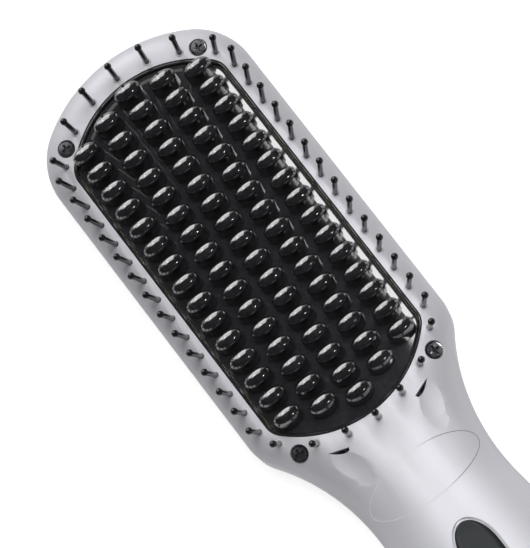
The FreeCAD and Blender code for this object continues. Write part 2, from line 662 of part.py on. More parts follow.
def pin_spots():
    """Place of every guard pin round the bed and its leans across and towards the tip, in degrees."""
    half = BED_WIDTH / 2 + PIN_OFFSET
    spots = []
    for i in range(PIN_SIDE_COUNT):
        share = i / (PIN_SIDE_COUNT - 1)
        fan = PIN_FAN[0] + (PIN_FAN[1] - PIN_FAN[0]) * share
        station = PIN_SIDE_START + PIN_PITCH * i
        spots += [(hand * half, station, hand * PIN_SIDE_LEAN, fan) for hand in (1, -1)]
    for centre, radius, corner_radius, step, corner_angle, leans, corner_lean, heading in (
            (BED_START + BED_CROWN, BED_CROWN, BED_CROWN_CORNER, PIN_CROWN_ANGLE, PIN_CORNER_ANGLE,
             PIN_CROWN_LEANS, PIN_CORNER_LEAN, 1),
            (BED_END - BED_FOOT, BED_FOOT, BED_FOOT_CORNER, PIN_FOOT_ANGLE, PIN_FOOT_CORNER_ANGLE,
             PIN_FOOT_LEANS, PIN_FOOT_CORNER_LEAN, -1)):
        for count in (-2, -1, 0, 1, 2):
            turn = math.radians(step * count)
            lean = leans[abs(count)]
            spots.append(((radius + PIN_OFFSET) * math.sin(turn),
                          centre - heading * (radius + PIN_OFFSET) * math.cos(turn),
                          lean * math.sin(turn), lean * heading * math.cos(turn)))
        corner_x = BED_WIDTH / 2 - corner_radius
        corner_station = centre - heading * math.sqrt((radius - corner_radius) ** 2 - corner_x ** 2)
        turn = math.radians(corner_angle)
        for hand in (1, -1):
            spots.append((hand * (corner_x + (corner_radius + PIN_OFFSET) * math.cos(turn)),
                          corner_station - heading * (corner_radius + PIN_OFFSET) * math.sin(turn),
                          hand * corner_lean[0], heading * corner_lean[1]))
    return spots


def pin_axes():
    """Point on the bezel surface and direction of every guard pin."""
    axes = []
    for x, station, across, along in pin_spots():
        heading = Vector(math.tan(math.radians(across)), math.tan(math.radians(along)), 1.0)
        axes.append((at(x, station, surface_z(x, station)), heading.normalize()))
    return axes


def head_screw_spots():
    """Place across, station and seat height of the four screws that hold the head together."""
    spots = []
    for station in HEAD_SCREW_STATIONS:
        for hand in (1, -1):
            x = hand * HEAD_SCREW_X
            spots.append((x, station, surface_z(x, station) - SCREW_SUNK - SCREW_HEAD_THICKNESS))
    return spots


def handle_top(station, inset=0.0):
    return surface_z(0.0, station, FRONT, inset)


# ------------------------------------------------------------------ shells
def front_shell():
    shell = form(FRONT, 0.0).cut(form(FRONT, WALL))
    added = []
    for x, station, seat in head_screw_spots():
        pad = post(SCREW_PAD_RADIUS, x, station, seat - SCREW_PAD_DEPTH, BIG)
        added.append(pad.common(form(FRONT, 0.0)))
    for hand in (1, -1):
        boss = post(SCREW_BOSS_RADIUS, hand * REAR_SCREW_X, REAR_SCREW_STATION, PARTING_Z, BIG)
        added.append(boss.common(body_half(FRONT, WALL / 2)))
    for station in BOARD_SCREW_STATIONS:
        for hand in (1, -1):
            pillar = post(BOARD_PILLAR_RADIUS, hand * BOARD_SCREW_X, station, BOARD_TOP_Z, BIG)
            added.append(pillar.common(body_half(FRONT, WALL / 2)))
    shell = shell.multiFuse(added)
    cuts = [bed_prism(0.0, PARTING_Z, BIG)]
    for foot, heading in pin_axes():
        cuts.append(cylinder(PIN_RADIUS + PIN_HOLE_CLEARANCE, foot - heading * 2 * WALL,
                             foot + heading * WALL))
    for x, station, seat in head_screw_spots():
        cuts.append(post(SCREW_HEAD_RADIUS + SCREW_HEAD_CLEARANCE, x, station, seat, BIG))
        cuts.append(post(SCREW_SHANK_RADIUS + SCREW_SHANK_CLEARANCE, x, station, PARTING_Z, BIG))
    for hand in (1, -1):
        cuts.append(post(SCREW_SHANK_RADIUS + SCREW_SHANK_CLEARANCE, hand * REAR_SCREW_X, REAR_SCREW_STATION,
                         PARTING_Z, REAR_SCREW_HEAD_Z + SCREW_HEAD_THICKNESS + SCREW_LENGTH + SCREW_TIP_GAP))
    for station in BOARD_SCREW_STATIONS:
        for hand in (1, -1):
            cuts.append(post(BOARD_SCREW_RADIUS, hand * BOARD_SCREW_X, station, BOARD_TOP_Z,
                             BOARD_TOP_Z + BOARD_SCREW_GRIP + BOARD_SCREW_TIP_GAP))
    cuts.append(panel_prism(PANEL_GAP))
    cuts.append(panel_prism(PANEL_BEVEL).cut(body_half(FRONT, PANEL_BEVEL_DEPTH)))
    seat = handle_top(FILLER_STATION) - FILLER_SEAT_DEPTH
    cuts.append(post(FILLER_SEAT_RADIUS, 0, FILLER_STATION, seat, BIG))
    cuts.append(post(FILLER_TUBE + FILLER_HOLE_CLEARANCE, 0, FILLER_STATION, PARTING_Z, BIG))
    tab = PLUG_TAB_WIDTH / 2 + FILLER_HOLE_CLEARANCE
    cuts.append(block(-tab, tab, FILLER_STATION, FILLER_STATION + PLUG_HEAD_RADIUS + 2 * PLUG_TAB_LENGTH,
                      seat + PLUG_HEAD_THICKNESS - PLUG_TAB_THICKNESS - PLUG_TAB_LIFT, BIG))
    cuts += swivel_hole()
    cuts += slit_cuts()
    return one_solid(shell.cut(cuts))


def slit_cuts():
    """Steam slits along the foot of the bed, and the thumb relief behind each."""
    cuts = []
    for hand in (1, -1):
        tip, near_edge, near_end, far_end, far_edge = [
            at(hand * across, BED_END + beyond, PARTING_Z)
            for across, beyond in (SLIT_TIP, SLIT_NEAR_EDGE) + SLIT_ENDS + (SLIT_FAR_EDGE,)]
        edges = [Part.Arc(tip, near_edge, near_end).toShape(), Part.makeLine(near_end, far_end),
                 Part.Arc(far_end, far_edge, tip).toShape()]
        cuts.append(Part.Face(Part.Wire(edges)).extrude(UP * BIG))
        ends = []
        for beyond in SCOOP_RUN:
            place = (hand * SCOOP_X, BED_END + beyond)
            ends.append(at(*place, surface_z(*place)) + front_normal(*place) * (SCOOP_RADIUS - SCOOP_DEPTH))
        bar = cylinder(SCOOP_RADIUS, *ends)
        cuts.append(bar.multiFuse([Part.makeSphere(SCOOP_RADIUS, end) for end in ends]))
    return cuts


def swivel_hole():
    """Running bore for the cord swivel, half in each shell."""
    return [cylinder(SWIVEL_RADIUS + SWIVEL_CLEARANCE, at(0, SHELL_LENGTH - 2 * WALL, PARTING_Z),
                     at(0, SHELL_LENGTH + WALL, PARTING_Z))]


def rib(half, station, top):
    """Upright rib across the inside of the rear shell."""
    return block(-half, half, station - RIB_THICKNESS / 2, station + RIB_THICKNESS / 2, 0.0, top)


def rear_shell():
    outer = form(BACK, 0.0)
    shell = outer.cut(form(BACK, WALL))
    inside_front = form(FRONT, WALL + SCREW_BOSS_GAP)
    added = []
    cuts = []
    for x, station, seat in head_screw_spots():
        boss_top = seat - SCREW_PAD_DEPTH
        added.append(post(SCREW_BOSS_RADIUS, x, station, 0.0, PARTING_Z).common(outer))
        added.append(post(SCREW_BOSS_RADIUS, x, station, PARTING_Z, boss_top).common(inside_front))
        cuts.append(post(SCREW_SHANK_RADIUS + SCREW_SHANK_CLEARANCE, x, station,
                         seat - SCREW_LENGTH - SCREW_TIP_GAP, BIG))
    for station in TRAY_POST_STATIONS:
        for hand in (1, -1):
            added.append(post(TRAY_POST_RADIUS, hand * TRAY_POST_X, station, WALL / 2, TRAY_Z))
    inside = body_half(BACK, WALL / 2)
    for hand in (1, -1):
        boss = post(REAR_BOSS_RADIUS, hand * REAR_SCREW_X, REAR_SCREW_STATION, 0.0, PARTING_Z)
        added.append(boss.common(body_half(BACK, 0.0)))
        cuts.append(post(SCREW_HEAD_RADIUS + SCREW_HEAD_CLEARANCE, hand * REAR_SCREW_X, REAR_SCREW_STATION,
                         -BIG, REAR_SCREW_HEAD_Z + SCREW_HEAD_THICKNESS))
        cuts.append(post(SCREW_SHANK_RADIUS + SCREW_SHANK_CLEARANCE, hand * REAR_SCREW_X, REAR_SCREW_STATION,
                         0.0, BIG))
    for share in RIB_SHARES:
        added.append(rib(PUMP_RADIUS, PUMP_START + PUMP_LENGTH * share, PUMP_Z).common(inside))
        added.append(rib(BOILER_RIB_HALF, BOILER_START + BOILER_LENGTH * share, BOILER_Z).common(inside))
    cuts.append(cylinder(PUMP_RADIUS + PUMP_SEAT_CLEARANCE, at(0, PUMP_START, PUMP_Z),
                         at(0, PUMP_START + PUMP_LENGTH, PUMP_Z)))
    cuts += swivel_hole()
    return one_solid(shell.multiFuse(added).cut(cuts))


# ------------------------------------------------------------------ bed, studs, pins and screws
def bed_rim():
    crest = BEZEL_Z - RIM_BELOW_BEZEL
    flange_top = BEZEL_Z - WALL - RIM_FLANGE_GAP
    wall = bed_prism(RIM_GAP, PLATE_Z, crest)
    hollow = bed_prism(RIM_GAP + RIM_WALL, PLATE_Z, crest)
    flange = bed_prism(-RIM_FLANGE_REACH, flange_top - RIM_FLANGE_THICKNESS, flange_top)
    flange = flange.cut([post(SCREW_PAD_RADIUS + BUTTON_GAP, x, station, PARTING_Z, BIG)
                         for x, station, _ in head_screw_spots()])
    wall = wall.cut(hollow)
    wall = wall.makeFillet(RIM_CREST_ROUND, edges_above(wall, crest))
    return one_solid(wall.fuse(flange.cut(hollow)))


def heating_plate():
    plate = bed_prism(RIM_GAP + RIM_WALL + PLATE_GAP, PLATE_Z, PLATE_TOP_Z)
    return plate.makeFillet(PLATE_EDGE, edges_above(plate, PLATE_TOP_Z))


def stud_spots():
    """Place across and station of every stud: staggered columns about the middle of the bed."""
    middle = BED_START + BED_LENGTH / 2
    reach = STUD_COLUMNS // 2
    spots = []
    for column in range(-reach, reach + 1):
        count = STUD_MIDDLE_COUNT - abs(column)
        spots += [(column * STUD_COLUMN_PITCH, middle + (i - (count - 1) / 2) * STUD_PITCH)
                  for i in range(count)]
    return spots


def heated_studs():
    """Oval studs with domed tops, standing on the plate."""
    straight = (STUD_HEIGHT - STUD_DOME) / STUD_DOME
    round_stud = Part.makeCylinder(1.0, straight)
    round_stud = round_stud.fuse(Part.makeSphere(1.0, Vector(0, 0, straight), UP, 0, 90, 360))
    squeeze = FreeCAD.Matrix()
    squeeze.scale(STUD_ACROSS / 2, STUD_ALONG / 2, STUD_DOME)
    stud = round_stud.removeSplitter().transformGeometry(squeeze)
    solids = []
    for x, station in stud_spots():
        copy = stud.copy()
        copy.translate(at(x, station, PLATE_TOP_Z))
        solids += copy.Solids
    return Part.makeCompound(solids)


def guard_pins():
    solids = []
    for foot, heading in pin_axes():
        low = foot - heading * (WALL + PIN_SEAT_GAP)
        top = foot + heading * (PIN_HEIGHT - PIN_BALL)
        pin = cylinder(PIN_RADIUS, low - heading * PIN_FOOT_THICKNESS / 2, top)
        pin = pin.fuse(Part.makeSphere(PIN_BALL, top))
        pin = pin.fuse(cylinder(PIN_FOOT_RADIUS, low - heading * PIN_FOOT_THICKNESS, low))
        solids.append(one_solid(pin))
    return Part.makeCompound(solids)


def screw(length):
    """Cross-head screw with the underside of its head at the origin."""
    head = Part.makeCylinder(SCREW_HEAD_RADIUS, SCREW_HEAD_THICKNESS)
    rim = [edge for edge in head.Edges if min(v.Z for v in edge.Vertexes) > SCREW_HEAD_THICKNESS / 2
           and len(edge.Vertexes) == 1]
    head = head.makeFillet(SCREW_HEAD_EDGE, rim)
    shank = Part.makeCylinder(SCREW_SHANK_RADIUS, length, Vector(0, 0, -length))
    body = head.fuse(shank)
    slot_sides = (SCREW_SLOT_LENGTH, SCREW_SLOT_WIDTH)
    for long_side, short_side in (slot_sides, slot_sides[::-1]):
        slot = Part.makeBox(long_side, short_side, SCREW_HEAD_THICKNESS,
                            Vector(-long_side / 2, -short_side / 2, SCREW_HEAD_THICKNESS - SCREW_SLOT_DEPTH))
        body = body.cut(slot)
    return body


def head_screws():
    solids = []
    for x, station, seat in head_screw_spots():
        placed = screw(SCREW_LENGTH)
        placed.translate(at(x, station, seat))
        solids += placed.Solids
    return Part.makeCompound(solids)


def rear_screws():
    solids = []
    for hand in (1, -1):
        placed = screw(SCREW_LENGTH)
        placed.rotate(ORIGIN, Vector(1, 0, 0), 180)
        placed.translate(at(hand * REAR_SCREW_X, REAR_SCREW_STATION,
                            REAR_SCREW_HEAD_Z + SCREW_HEAD_THICKNESS))
        solids += placed.Solids
    return Part.makeCompound(solids)


# ------------------------------------------------------------------ heater stack
def heater_tray():
    hollow = bed_prism(RIM_GAP + TRAY_WALL, TRAY_Z + TRAY_FLOOR, PLATE_Z)
    tray = bed_prism(RIM_GAP, TRAY_Z, PLATE_Z).cut(hollow)
    holes = []
    for x in (-LEAD_X, LEAD_X):
        holes.append(cylinder(LEAD_RADIUS + LEAD_HOLE_CLEARANCE, at(x, HEATER_START + HEATER_LENGTH, LEAD_Z),
                              at(x, BED_END + TRAY_WALL, LEAD_Z)))
    return one_solid(tray.cut(holes))


def heater_elements():
    solids = []
    for hand in (1, -1):
        solids.append(block(hand * HEATER_X - HEATER_WIDTH / 2, hand * HEATER_X + HEATER_WIDTH / 2,
                            HEATER_START, HEATER_START + HEATER_LENGTH, HEATER_Z, PLATE_Z))
    return Part.makeCompound(solids)


def stack_sheet(low, high):
    """Flat sheet under both heaters, with a window for each sensor."""
    sheet = block(-STACK_REACH, STACK_REACH, HEATER_START - STACK_MARGIN,
                  HEATER_START + HEATER_LENGTH + STACK_MARGIN, low, high)
    half = SENSOR_WINDOW_WIDTH / 2
    windows = []
    for station, length in ((FUSE_STATION, FUSE_LENGTH), (THERMISTOR_STATION, THERMISTOR_LENGTH)):
        windows.append(block(-half, half, station - SENSOR_WINDOW_MARGIN,
                             station + length + SENSOR_WINDOW_MARGIN, low, high))
    return one_solid(sheet.cut(windows))


def clamp_plate():
    plate = stack_sheet(CLAMP_Z, MICA_Z)
    feet = []
    for hand in (1, -1):
        for station in (HEATER_START, HEATER_START + HEATER_LENGTH - CLAMP_FOOT):
            low, high = sorted((hand * STACK_REACH, hand * (STACK_REACH - CLAMP_FOOT_THICKNESS)))
            feet.append(block(low, high, station, station + CLAMP_FOOT, TRAY_Z + TRAY_FLOOR, CLAMP_Z))
    return one_solid(plate.multiFuse(feet))


def sensor(radius, station, length):
    z = PLATE_Z - radius - TOUCH
    return cylinder(radius, at(0, station, z), at(0, station + length, z))


def heater_leads():
    end = HEATER_START + HEATER_LENGTH
    landing = BOARD_START + LEAD_LANDING
    return Part.makeCompound([cylinder(LEAD_RADIUS, at(hand * LEAD_X, end, LEAD_Z),
                                       at(hand * LEAD_X, landing, LEAD_Z)) for hand in (1, -1)])


# ------------------------------------------------------------------ steam path
def boiler():
    body = block(-BOILER_WIDTH / 2, BOILER_WIDTH / 2, BOILER_START, BOILER_START + BOILER_LENGTH,
                 BOILER_Z, BOILER_Z + BOILER_HEIGHT)
    body = body.makeFillet(BOILER_EDGE, upright_edges(body))
    station = BOILER_START + BOILER_HEATER_OFFSET
    heater = cylinder(BOILER_HEATER_RADIUS + TOUCH, at(-BOILER_WIDTH, station, PUMP_Z),
                      at(BOILER_WIDTH, station, PUMP_Z))
    return one_solid(body.cut(heater))


def boiler_heater():
    station = BOILER_START + BOILER_HEATER_OFFSET
    return cylinder(BOILER_HEATER_RADIUS, at(-BOILER_WIDTH / 2, station, PUMP_Z),
                    at(BOILER_WIDTH / 2, station, PUMP_Z))


def nozzle(hand):
    """Steam tube from the top of the boiler to the slit."""
    x = (SLIT_NEAR_EDGE[0] + SLIT_FAR_EDGE[0]) / 2
    station = BED_END + (SLIT_NEAR_EDGE[1] + SLIT_FAR_EDGE[1]) / 2
    low = BOILER_Z + BOILER_HEIGHT
    reach = HOSE_RADIUS
    mouth = min(surface_z(x + reach, station, FRONT, WALL), surface_z(x - reach, station, FRONT, WALL))
    mouth -= MOUTH_BELOW_SHELL
    points = [at(hand * NOZZLE_X, NOZZLE_STATION, low),
              at(hand * NOZZLE_X, NOZZLE_STATION, low + NOZZLE_RISE),
              at(hand * x, station, mouth - NOZZLE_RISE / 2),
              at(hand * x, station, mouth)]
    return one_solid(tube(points, NOZZLE_BEND, HOSE_RADIUS, HOSE_BORE))


def straight_hose(start, end):
    outer = cylinder(HOSE_RADIUS, at(0, start, PUMP_Z), at(0, end, PUMP_Z))
    return outer.cut(cylinder(HOSE_BORE, at(0, start, PUMP_Z), at(0, end, PUMP_Z)))


def pump():
    body = cylinder(PUMP_RADIUS, at(0, PUMP_START, PUMP_Z), at(0, PUMP_START + PUMP_LENGTH, PUMP_Z))
    return body.makeFillet(PUMP_EDGE, [edge for edge in body.Edges if len(edge.Vertexes) == 1])


def tank_room(extra, end_gap):
    """Space inside the handle for the tank, taken in by extra."""
    inset = WALL + TANK_CLEARANCE + extra
    room = body_half(FRONT, inset).fuse(body_half(BACK, inset))
    return room.common(block(-BIG, BIG, TANK_START + end_gap, TANK_END - end_gap, -BIG, TANK_TOP_Z - end_gap))


def water_tank():
    seat = handle_top(FILLER_STATION) - FILLER_SEAT_DEPTH
    gasket_low = handle_top(FILLER_STATION, WALL) - TANK_CLEARANCE - GASKET_THICKNESS
    outside = tank_room(0.0, 0.0).fuse(post(FILLER_TUBE, 0, FILLER_STATION, TANK_TOP_Z - TANK_WALL, seat))
    outside = outside.fuse(post(GASKET_RADIUS, 0, FILLER_STATION, gasket_low - GASKET_COLLAR, gasket_low))
    outside = outside.cut(tank_room(TANK_WALL, TANK_WALL))
    outside = outside.cut(post(FILLER_BORE, 0, FILLER_STATION, TANK_TOP_Z - 2 * TANK_WALL, BIG))
    port = cylinder(HOSE_BORE, at(0, TANK_START - TANK_WALL, PUMP_Z),
                    at(0, TANK_START + 2 * TANK_WALL, PUMP_Z))
    return one_solid(outside.cut(port))


def filler_gasket():
    high = handle_top(FILLER_STATION, WALL) - TANK_CLEARANCE
    ring = post(GASKET_RADIUS, 0, FILLER_STATION, high - GASKET_THICKNESS, high)
    return ring.cut(post(FILLER_TUBE + TOUCH, 0, FILLER_STATION, PARTING_Z, BIG))


def tank_plug():
    seat = handle_top(FILLER_STATION) - FILLER_SEAT_DEPTH
    top = seat + PLUG_HEAD_THICKNESS
    plug = post(PLUG_HEAD_RADIUS, 0, FILLER_STATION, seat, top)
    plug = plug.makeFillet(PLUG_EDGE, [edge for edge in plug.Edges
                                 if len(edge.Vertexes) == 1 and edge.Vertexes[0].Z > top - TOUCH])
    tab = block(-PLUG_TAB_WIDTH / 2, PLUG_TAB_WIDTH / 2, FILLER_STATION + PLUG_HEAD_RADIUS / 2,
                FILLER_STATION + PLUG_HEAD_RADIUS + PLUG_TAB_LENGTH, top - PLUG_TAB_THICKNESS, top)
    stem = post(FILLER_BORE - PLUG_FIT, 0, FILLER_STATION, seat - PLUG_STEM_LENGTH, seat)
    return one_solid(plug.multiFuse([tab, stem]))


# ------------------------------------------------------------------ control panel and electronics
def lens_prism(grow, low, high):
    half = LENS_WIDTH / 2 + grow
    prism = block(-half, half, LENS_STATION - LENS_LENGTH / 2 - grow, LENS_STATION + LENS_LENGTH / 2 + grow,
                  low, high)
    return prism.makeFillet(LENS_CORNER + grow, upright_edges(prism))


def control_panel():
    face = layer(PANEL_SUNK, PANEL_SUNK + PANEL_THICKNESS)
    face = face.common(panel_prism(0.0))
    flange = layer(WALL + TOUCH, WALL + TOUCH + PANEL_FLANGE_THICKNESS)
    flange = flange.common(panel_prism(PANEL_FLANGE))
    panel = face.fuse(flange)
    pocket = lens_prism(LENS_GAP, PARTING_Z, BIG).cut(body_half(FRONT, PANEL_SUNK + LENS_THICKNESS))
    cuts = [pocket, lens_prism(-LENS_LEDGE, PARTING_Z, BIG)]
    for station in BUTTON_STATIONS.values():
        top = handle_top(station)
        cuts.append(post(BUTTON_RADIUS + BUTTON_GAP, 0, station, PARTING_Z, BIG))
        cuts.append(post(BUTTON_RADIUS + BUTTON_FLANGE + BUTTON_GAP, 0, station, PARTING_Z,
                         button_flange_top(top) + BUTTON_GAP))
    for station in BOARD_SCREW_STATIONS:
        for hand in (1, -1):
            cuts.append(post(BOARD_PILLAR_RADIUS + BUTTON_GAP, hand * BOARD_SCREW_X, station, PARTING_Z, BIG))
    return one_solid(panel.cut(cuts))


def button_flange_top(top):
    return top - PANEL_SUNK - PANEL_THICKNESS - BUTTON_GAP / 2


def button(station):
    """Round cap that follows the handle's curve, with a flange under the panel and a stem to its switch."""
    top = handle_top(station)
    flange_top = button_flange_top(top)
    cap = post(BUTTON_RADIUS, 0, station, flange_top - BUTTON_FLANGE_THICKNESS, BIG)
    cap = cap.common(body_half(FRONT, -BUTTON_PROUD))
    flange = post(BUTTON_RADIUS + BUTTON_FLANGE, 0, station, flange_top - BUTTON_FLANGE_THICKNESS, flange_top)
    switch_top = BOARD_TOP_Z + SWITCH_HEIGHT + SWITCH_PLUNGER_HEIGHT
    stem = post(BUTTON_STEM_RADIUS, 0, station, switch_top + BUTTON_TRAVEL + SWITCH_SLACK, flange_top)
    return one_solid(cap.multiFuse([flange, stem]))


def button_switches():
    solids = []
    for station in BUTTON_STATIONS.values():
        half = SWITCH_SIZE / 2
        body = block(-half, half, station - half, station + half, BOARD_TOP_Z, BOARD_TOP_Z + SWITCH_HEIGHT)
        plunger = post(SWITCH_PLUNGER_RADIUS, 0, station, BOARD_TOP_Z + SWITCH_HEIGHT,
                       BOARD_TOP_Z + SWITCH_HEIGHT + SWITCH_PLUNGER_HEIGHT)
        solids.append(one_solid(body.fuse(plunger)))
    return Part.makeCompound(solids)


def circuit_board():
    board = block(-BOARD_WIDTH / 2, BOARD_WIDTH / 2, BOARD_START, BOARD_END,
                  BOARD_TOP_Z - BOARD_THICKNESS, BOARD_TOP_Z)
    holes = [post(BOARD_SCREW_RADIUS + SCREW_SHANK_CLEARANCE, hand * BOARD_SCREW_X, station, 0.0, BIG)
             for station in BOARD_SCREW_STATIONS for hand in (1, -1)]
    return one_solid(board.cut(holes))


def board_screws():
    low = BOARD_TOP_Z - BOARD_THICKNESS
    solids = []
    for station in BOARD_SCREW_STATIONS:
        for hand in (1, -1):
            x = hand * BOARD_SCREW_X
            head = post(BOARD_SCREW_HEAD_RADIUS, x, station, low - BOARD_SCREW_HEAD_THICKNESS, low)
            shank = post(BOARD_SCREW_RADIUS - TOUCH, x, station, low, BOARD_TOP_Z + BOARD_SCREW_GRIP)
            solids.append(one_solid(head.fuse(shank)))
    return Part.makeCompound(solids)


def display_lens():
    return one_solid(lens_prism(0.0, PARTING_Z, BIG).common(layer(PANEL_SUNK, PANEL_SUNK + LENS_THICKNESS)))


def display_module():
    half = LENS_WIDTH / 2 + DISPLAY_SIDE
    ends = (LENS_STATION - LENS_LENGTH / 2, LENS_STATION + LENS_LENGTH / 2)
    top = min(surface_z(half, station, FRONT, WALL + TOUCH + PANEL_FLANGE_THICKNESS) for station in ends)
    return block(-half, half, *ends, BOARD_TOP_Z, top - DISPLAY_GAP)


def cord_swivel():
    """Turning bush that the supply cord leaves the handle through."""
    def ring(radius, start, end):
        return cylinder(radius, at(0, start, PARTING_Z), at(0, end, PARTING_Z))

    flange_end = SHELL_LENGTH - WALL - SWIVEL_FLANGE_GAP
    collar_start = SHELL_LENGTH + SWIVEL_COLLAR_GAP
    collar_end = collar_start + SWIVEL_COLLAR_LENGTH
    nose = Part.makeCone(SWIVEL_RADIUS, SWIVEL_NOSE_RADIUS, SHELL_LENGTH + SWIVEL_NOSE - collar_end,
                         at(0, collar_end, PARTING_Z), Vector(0, -1, 0))
    bush = ring(SWIVEL_FLANGE_RADIUS, flange_end - SWIVEL_FLANGE_LENGTH, flange_end)
    bush = bush.multiFuse([ring(SWIVEL_RADIUS, flange_end, collar_start),
                           ring(SWIVEL_COLLAR_RADIUS, collar_start, collar_end), nose])
    bore = ring(SWIVEL_BORE, flange_end - 2 * SWIVEL_FLANGE_LENGTH, SHELL_LENGTH + 2 * SWIVEL_NOSE)
    return one_solid(bush.cut(bore))


def main():
    os.makedirs("parts", exist_ok=True)
    nodes = {
        "front_shell": front_shell(),
        "rear_shell": rear_shell(),
        "bed_rim": bed_rim(),
        "heating_plate": heating_plate(),
        "heated_studs": heated_studs(),
        "guard_pins": guard_pins(),
        "head_screws": head_screws(),
        "rear_screws": rear_screws(),
        "heater_tray": heater_tray(),
        "heater_elements": heater_elements(),
        "mica_sheet": stack_sheet(MICA_Z, HEATER_Z),
        "clamp_plate": clamp_plate(),
        "thermal_fuse": sensor(FUSE_RADIUS, FUSE_STATION, FUSE_LENGTH),
        "thermistor": sensor(THERMISTOR_RADIUS, THERMISTOR_STATION, THERMISTOR_LENGTH),
        "heater_leads": heater_leads(),
        "steam_boiler": boiler(),
        "boiler_heater": boiler_heater(),
        "steam_nozzle_right": nozzle(1),
        "steam_nozzle_left": nozzle(-1),
        "pressure_hose": straight_hose(BOILER_START + BOILER_LENGTH, PUMP_START),
        "water_pump": pump(),
        "suction_hose": straight_hose(PUMP_START + PUMP_LENGTH, TANK_START),
        "water_tank": water_tank(),
        "filler_gasket": filler_gasket(),
        "tank_plug": tank_plug(),
        "control_panel": control_panel(),
        "display_lens": display_lens(),
        "display_module": display_module(),
        "button_switches": button_switches(),
        "circuit_board": circuit_board(),
        "board_screws": board_screws(),
        "cord_swivel": cord_swivel(),
    }
    for name, station in BUTTON_STATIONS.items():
        nodes[name] = button(station)
    for name, shape in nodes.items():
        shape.exportStep(f"parts/{name}.step")
        box = shape.BoundBox
        print(f"{name:20s} solids {len(shape.Solids):3d} valid {shape.isValid()} volume {shape.Volume:10.1f} "
              f"z {box.ZMin:6.2f} {box.ZMax:6.2f}")


main()
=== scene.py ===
"""Dressed model of a steam hair straightener brush, lying on its back with the bristles up.

Metres. +X is across the brush, +Y points from the handle to the tip of the head, +Z points out of the
bristle side. Stations are distances from the tip of the head, measured towards the handle.
"""
import json
import math
import bpy
import bmesh
from bpy.props import FloatProperty, FloatVectorProperty, PointerProperty
from mathutils import Matrix, Vector

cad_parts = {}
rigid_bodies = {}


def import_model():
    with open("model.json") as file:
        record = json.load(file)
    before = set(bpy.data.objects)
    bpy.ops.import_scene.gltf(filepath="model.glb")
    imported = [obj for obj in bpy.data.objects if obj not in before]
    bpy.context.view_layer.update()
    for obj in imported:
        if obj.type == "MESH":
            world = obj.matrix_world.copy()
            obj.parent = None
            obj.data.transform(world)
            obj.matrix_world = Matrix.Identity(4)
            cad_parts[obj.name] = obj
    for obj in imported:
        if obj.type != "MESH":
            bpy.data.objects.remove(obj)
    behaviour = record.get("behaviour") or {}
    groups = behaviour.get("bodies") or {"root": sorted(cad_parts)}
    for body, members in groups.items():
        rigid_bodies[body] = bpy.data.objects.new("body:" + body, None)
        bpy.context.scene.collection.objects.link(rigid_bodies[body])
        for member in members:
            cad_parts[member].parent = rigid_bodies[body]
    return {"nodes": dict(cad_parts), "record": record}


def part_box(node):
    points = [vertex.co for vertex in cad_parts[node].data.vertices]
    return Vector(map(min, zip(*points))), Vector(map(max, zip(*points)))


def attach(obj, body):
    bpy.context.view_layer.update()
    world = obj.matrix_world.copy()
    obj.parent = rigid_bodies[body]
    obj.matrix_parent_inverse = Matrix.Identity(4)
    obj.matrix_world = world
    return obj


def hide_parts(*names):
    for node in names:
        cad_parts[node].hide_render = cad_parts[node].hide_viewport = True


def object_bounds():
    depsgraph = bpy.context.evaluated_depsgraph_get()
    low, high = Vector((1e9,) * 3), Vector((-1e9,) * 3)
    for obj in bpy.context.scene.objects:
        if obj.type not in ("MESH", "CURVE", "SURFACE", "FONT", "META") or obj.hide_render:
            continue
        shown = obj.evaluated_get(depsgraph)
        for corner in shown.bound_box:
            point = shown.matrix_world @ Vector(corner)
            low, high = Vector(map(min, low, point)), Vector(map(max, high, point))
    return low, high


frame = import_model()
cad_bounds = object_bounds()

bl_info = {
    "name": "Steam Straightener Brush",
    "version": (1, 0, 0),
    "blender": (4, 5, 0),
    "location": "View3D > Sidebar > Brush",
    "description": "Builds the smooth pieces, finishes and studio of a steam hair straightener brush",
    "category": "Object",
}

MM = 0.001
BODY = "brush_body"

# outline of the body in millimetres, as the CAD part has it
TIP_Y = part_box("front_shell")[1].y / MM
SHELL_LENGTH = TIP_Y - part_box("front_shell")[0].y / MM
HEAD_WIDTH = (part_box("front_shell")[1].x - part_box("front_shell")[0].x) / MM
PARTING_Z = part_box("front_shell")[0].z / MM
CROWN_RADIUS = 47.8
CORNER_RADIUS = 20.5
SHOULDER_RADIUS = 12.0
NECK_RADIUS = 66.0
WAIST_WIDTH = 43.6
GRIP_WIDTH = 49.2
GRIP_AT = SHELL_LENGTH - 84.0
WAIST_AT = GRIP_AT - 41.5
END_WIDTH = 37.0
END_ROUND = 9.0
END_TAPER = 0.75
LEVEL_END = WAIST_AT - 46.0
BLEND_END = WAIST_AT - 10.0
OVAL_FLAT = 3.0
OVAL_SIDE = 0.8
WALL = 2.2
ROUND_SHARE = 0.5523
FRONT = 1
BACK = -1
LEVELS = {FRONT: ((LEVEL_END, 14.0), (WAIST_AT, 14.5), (GRIP_AT, 19.0), (SHELL_LENGTH, 15.5)),
          BACK: ((LEVEL_END, 16.0), (WAIST_AT, 12.5), (GRIP_AT, 16.0), (SHELL_LENGTH - 26.0, 16.0),
                 (SHELL_LENGTH, 13.5))}
EDGE_ROUND = {FRONT: (9.0, 5.0), BACK: (12.0, 10.0)}
SEAM = 0.22                   # small chamfer of both halves where they meet

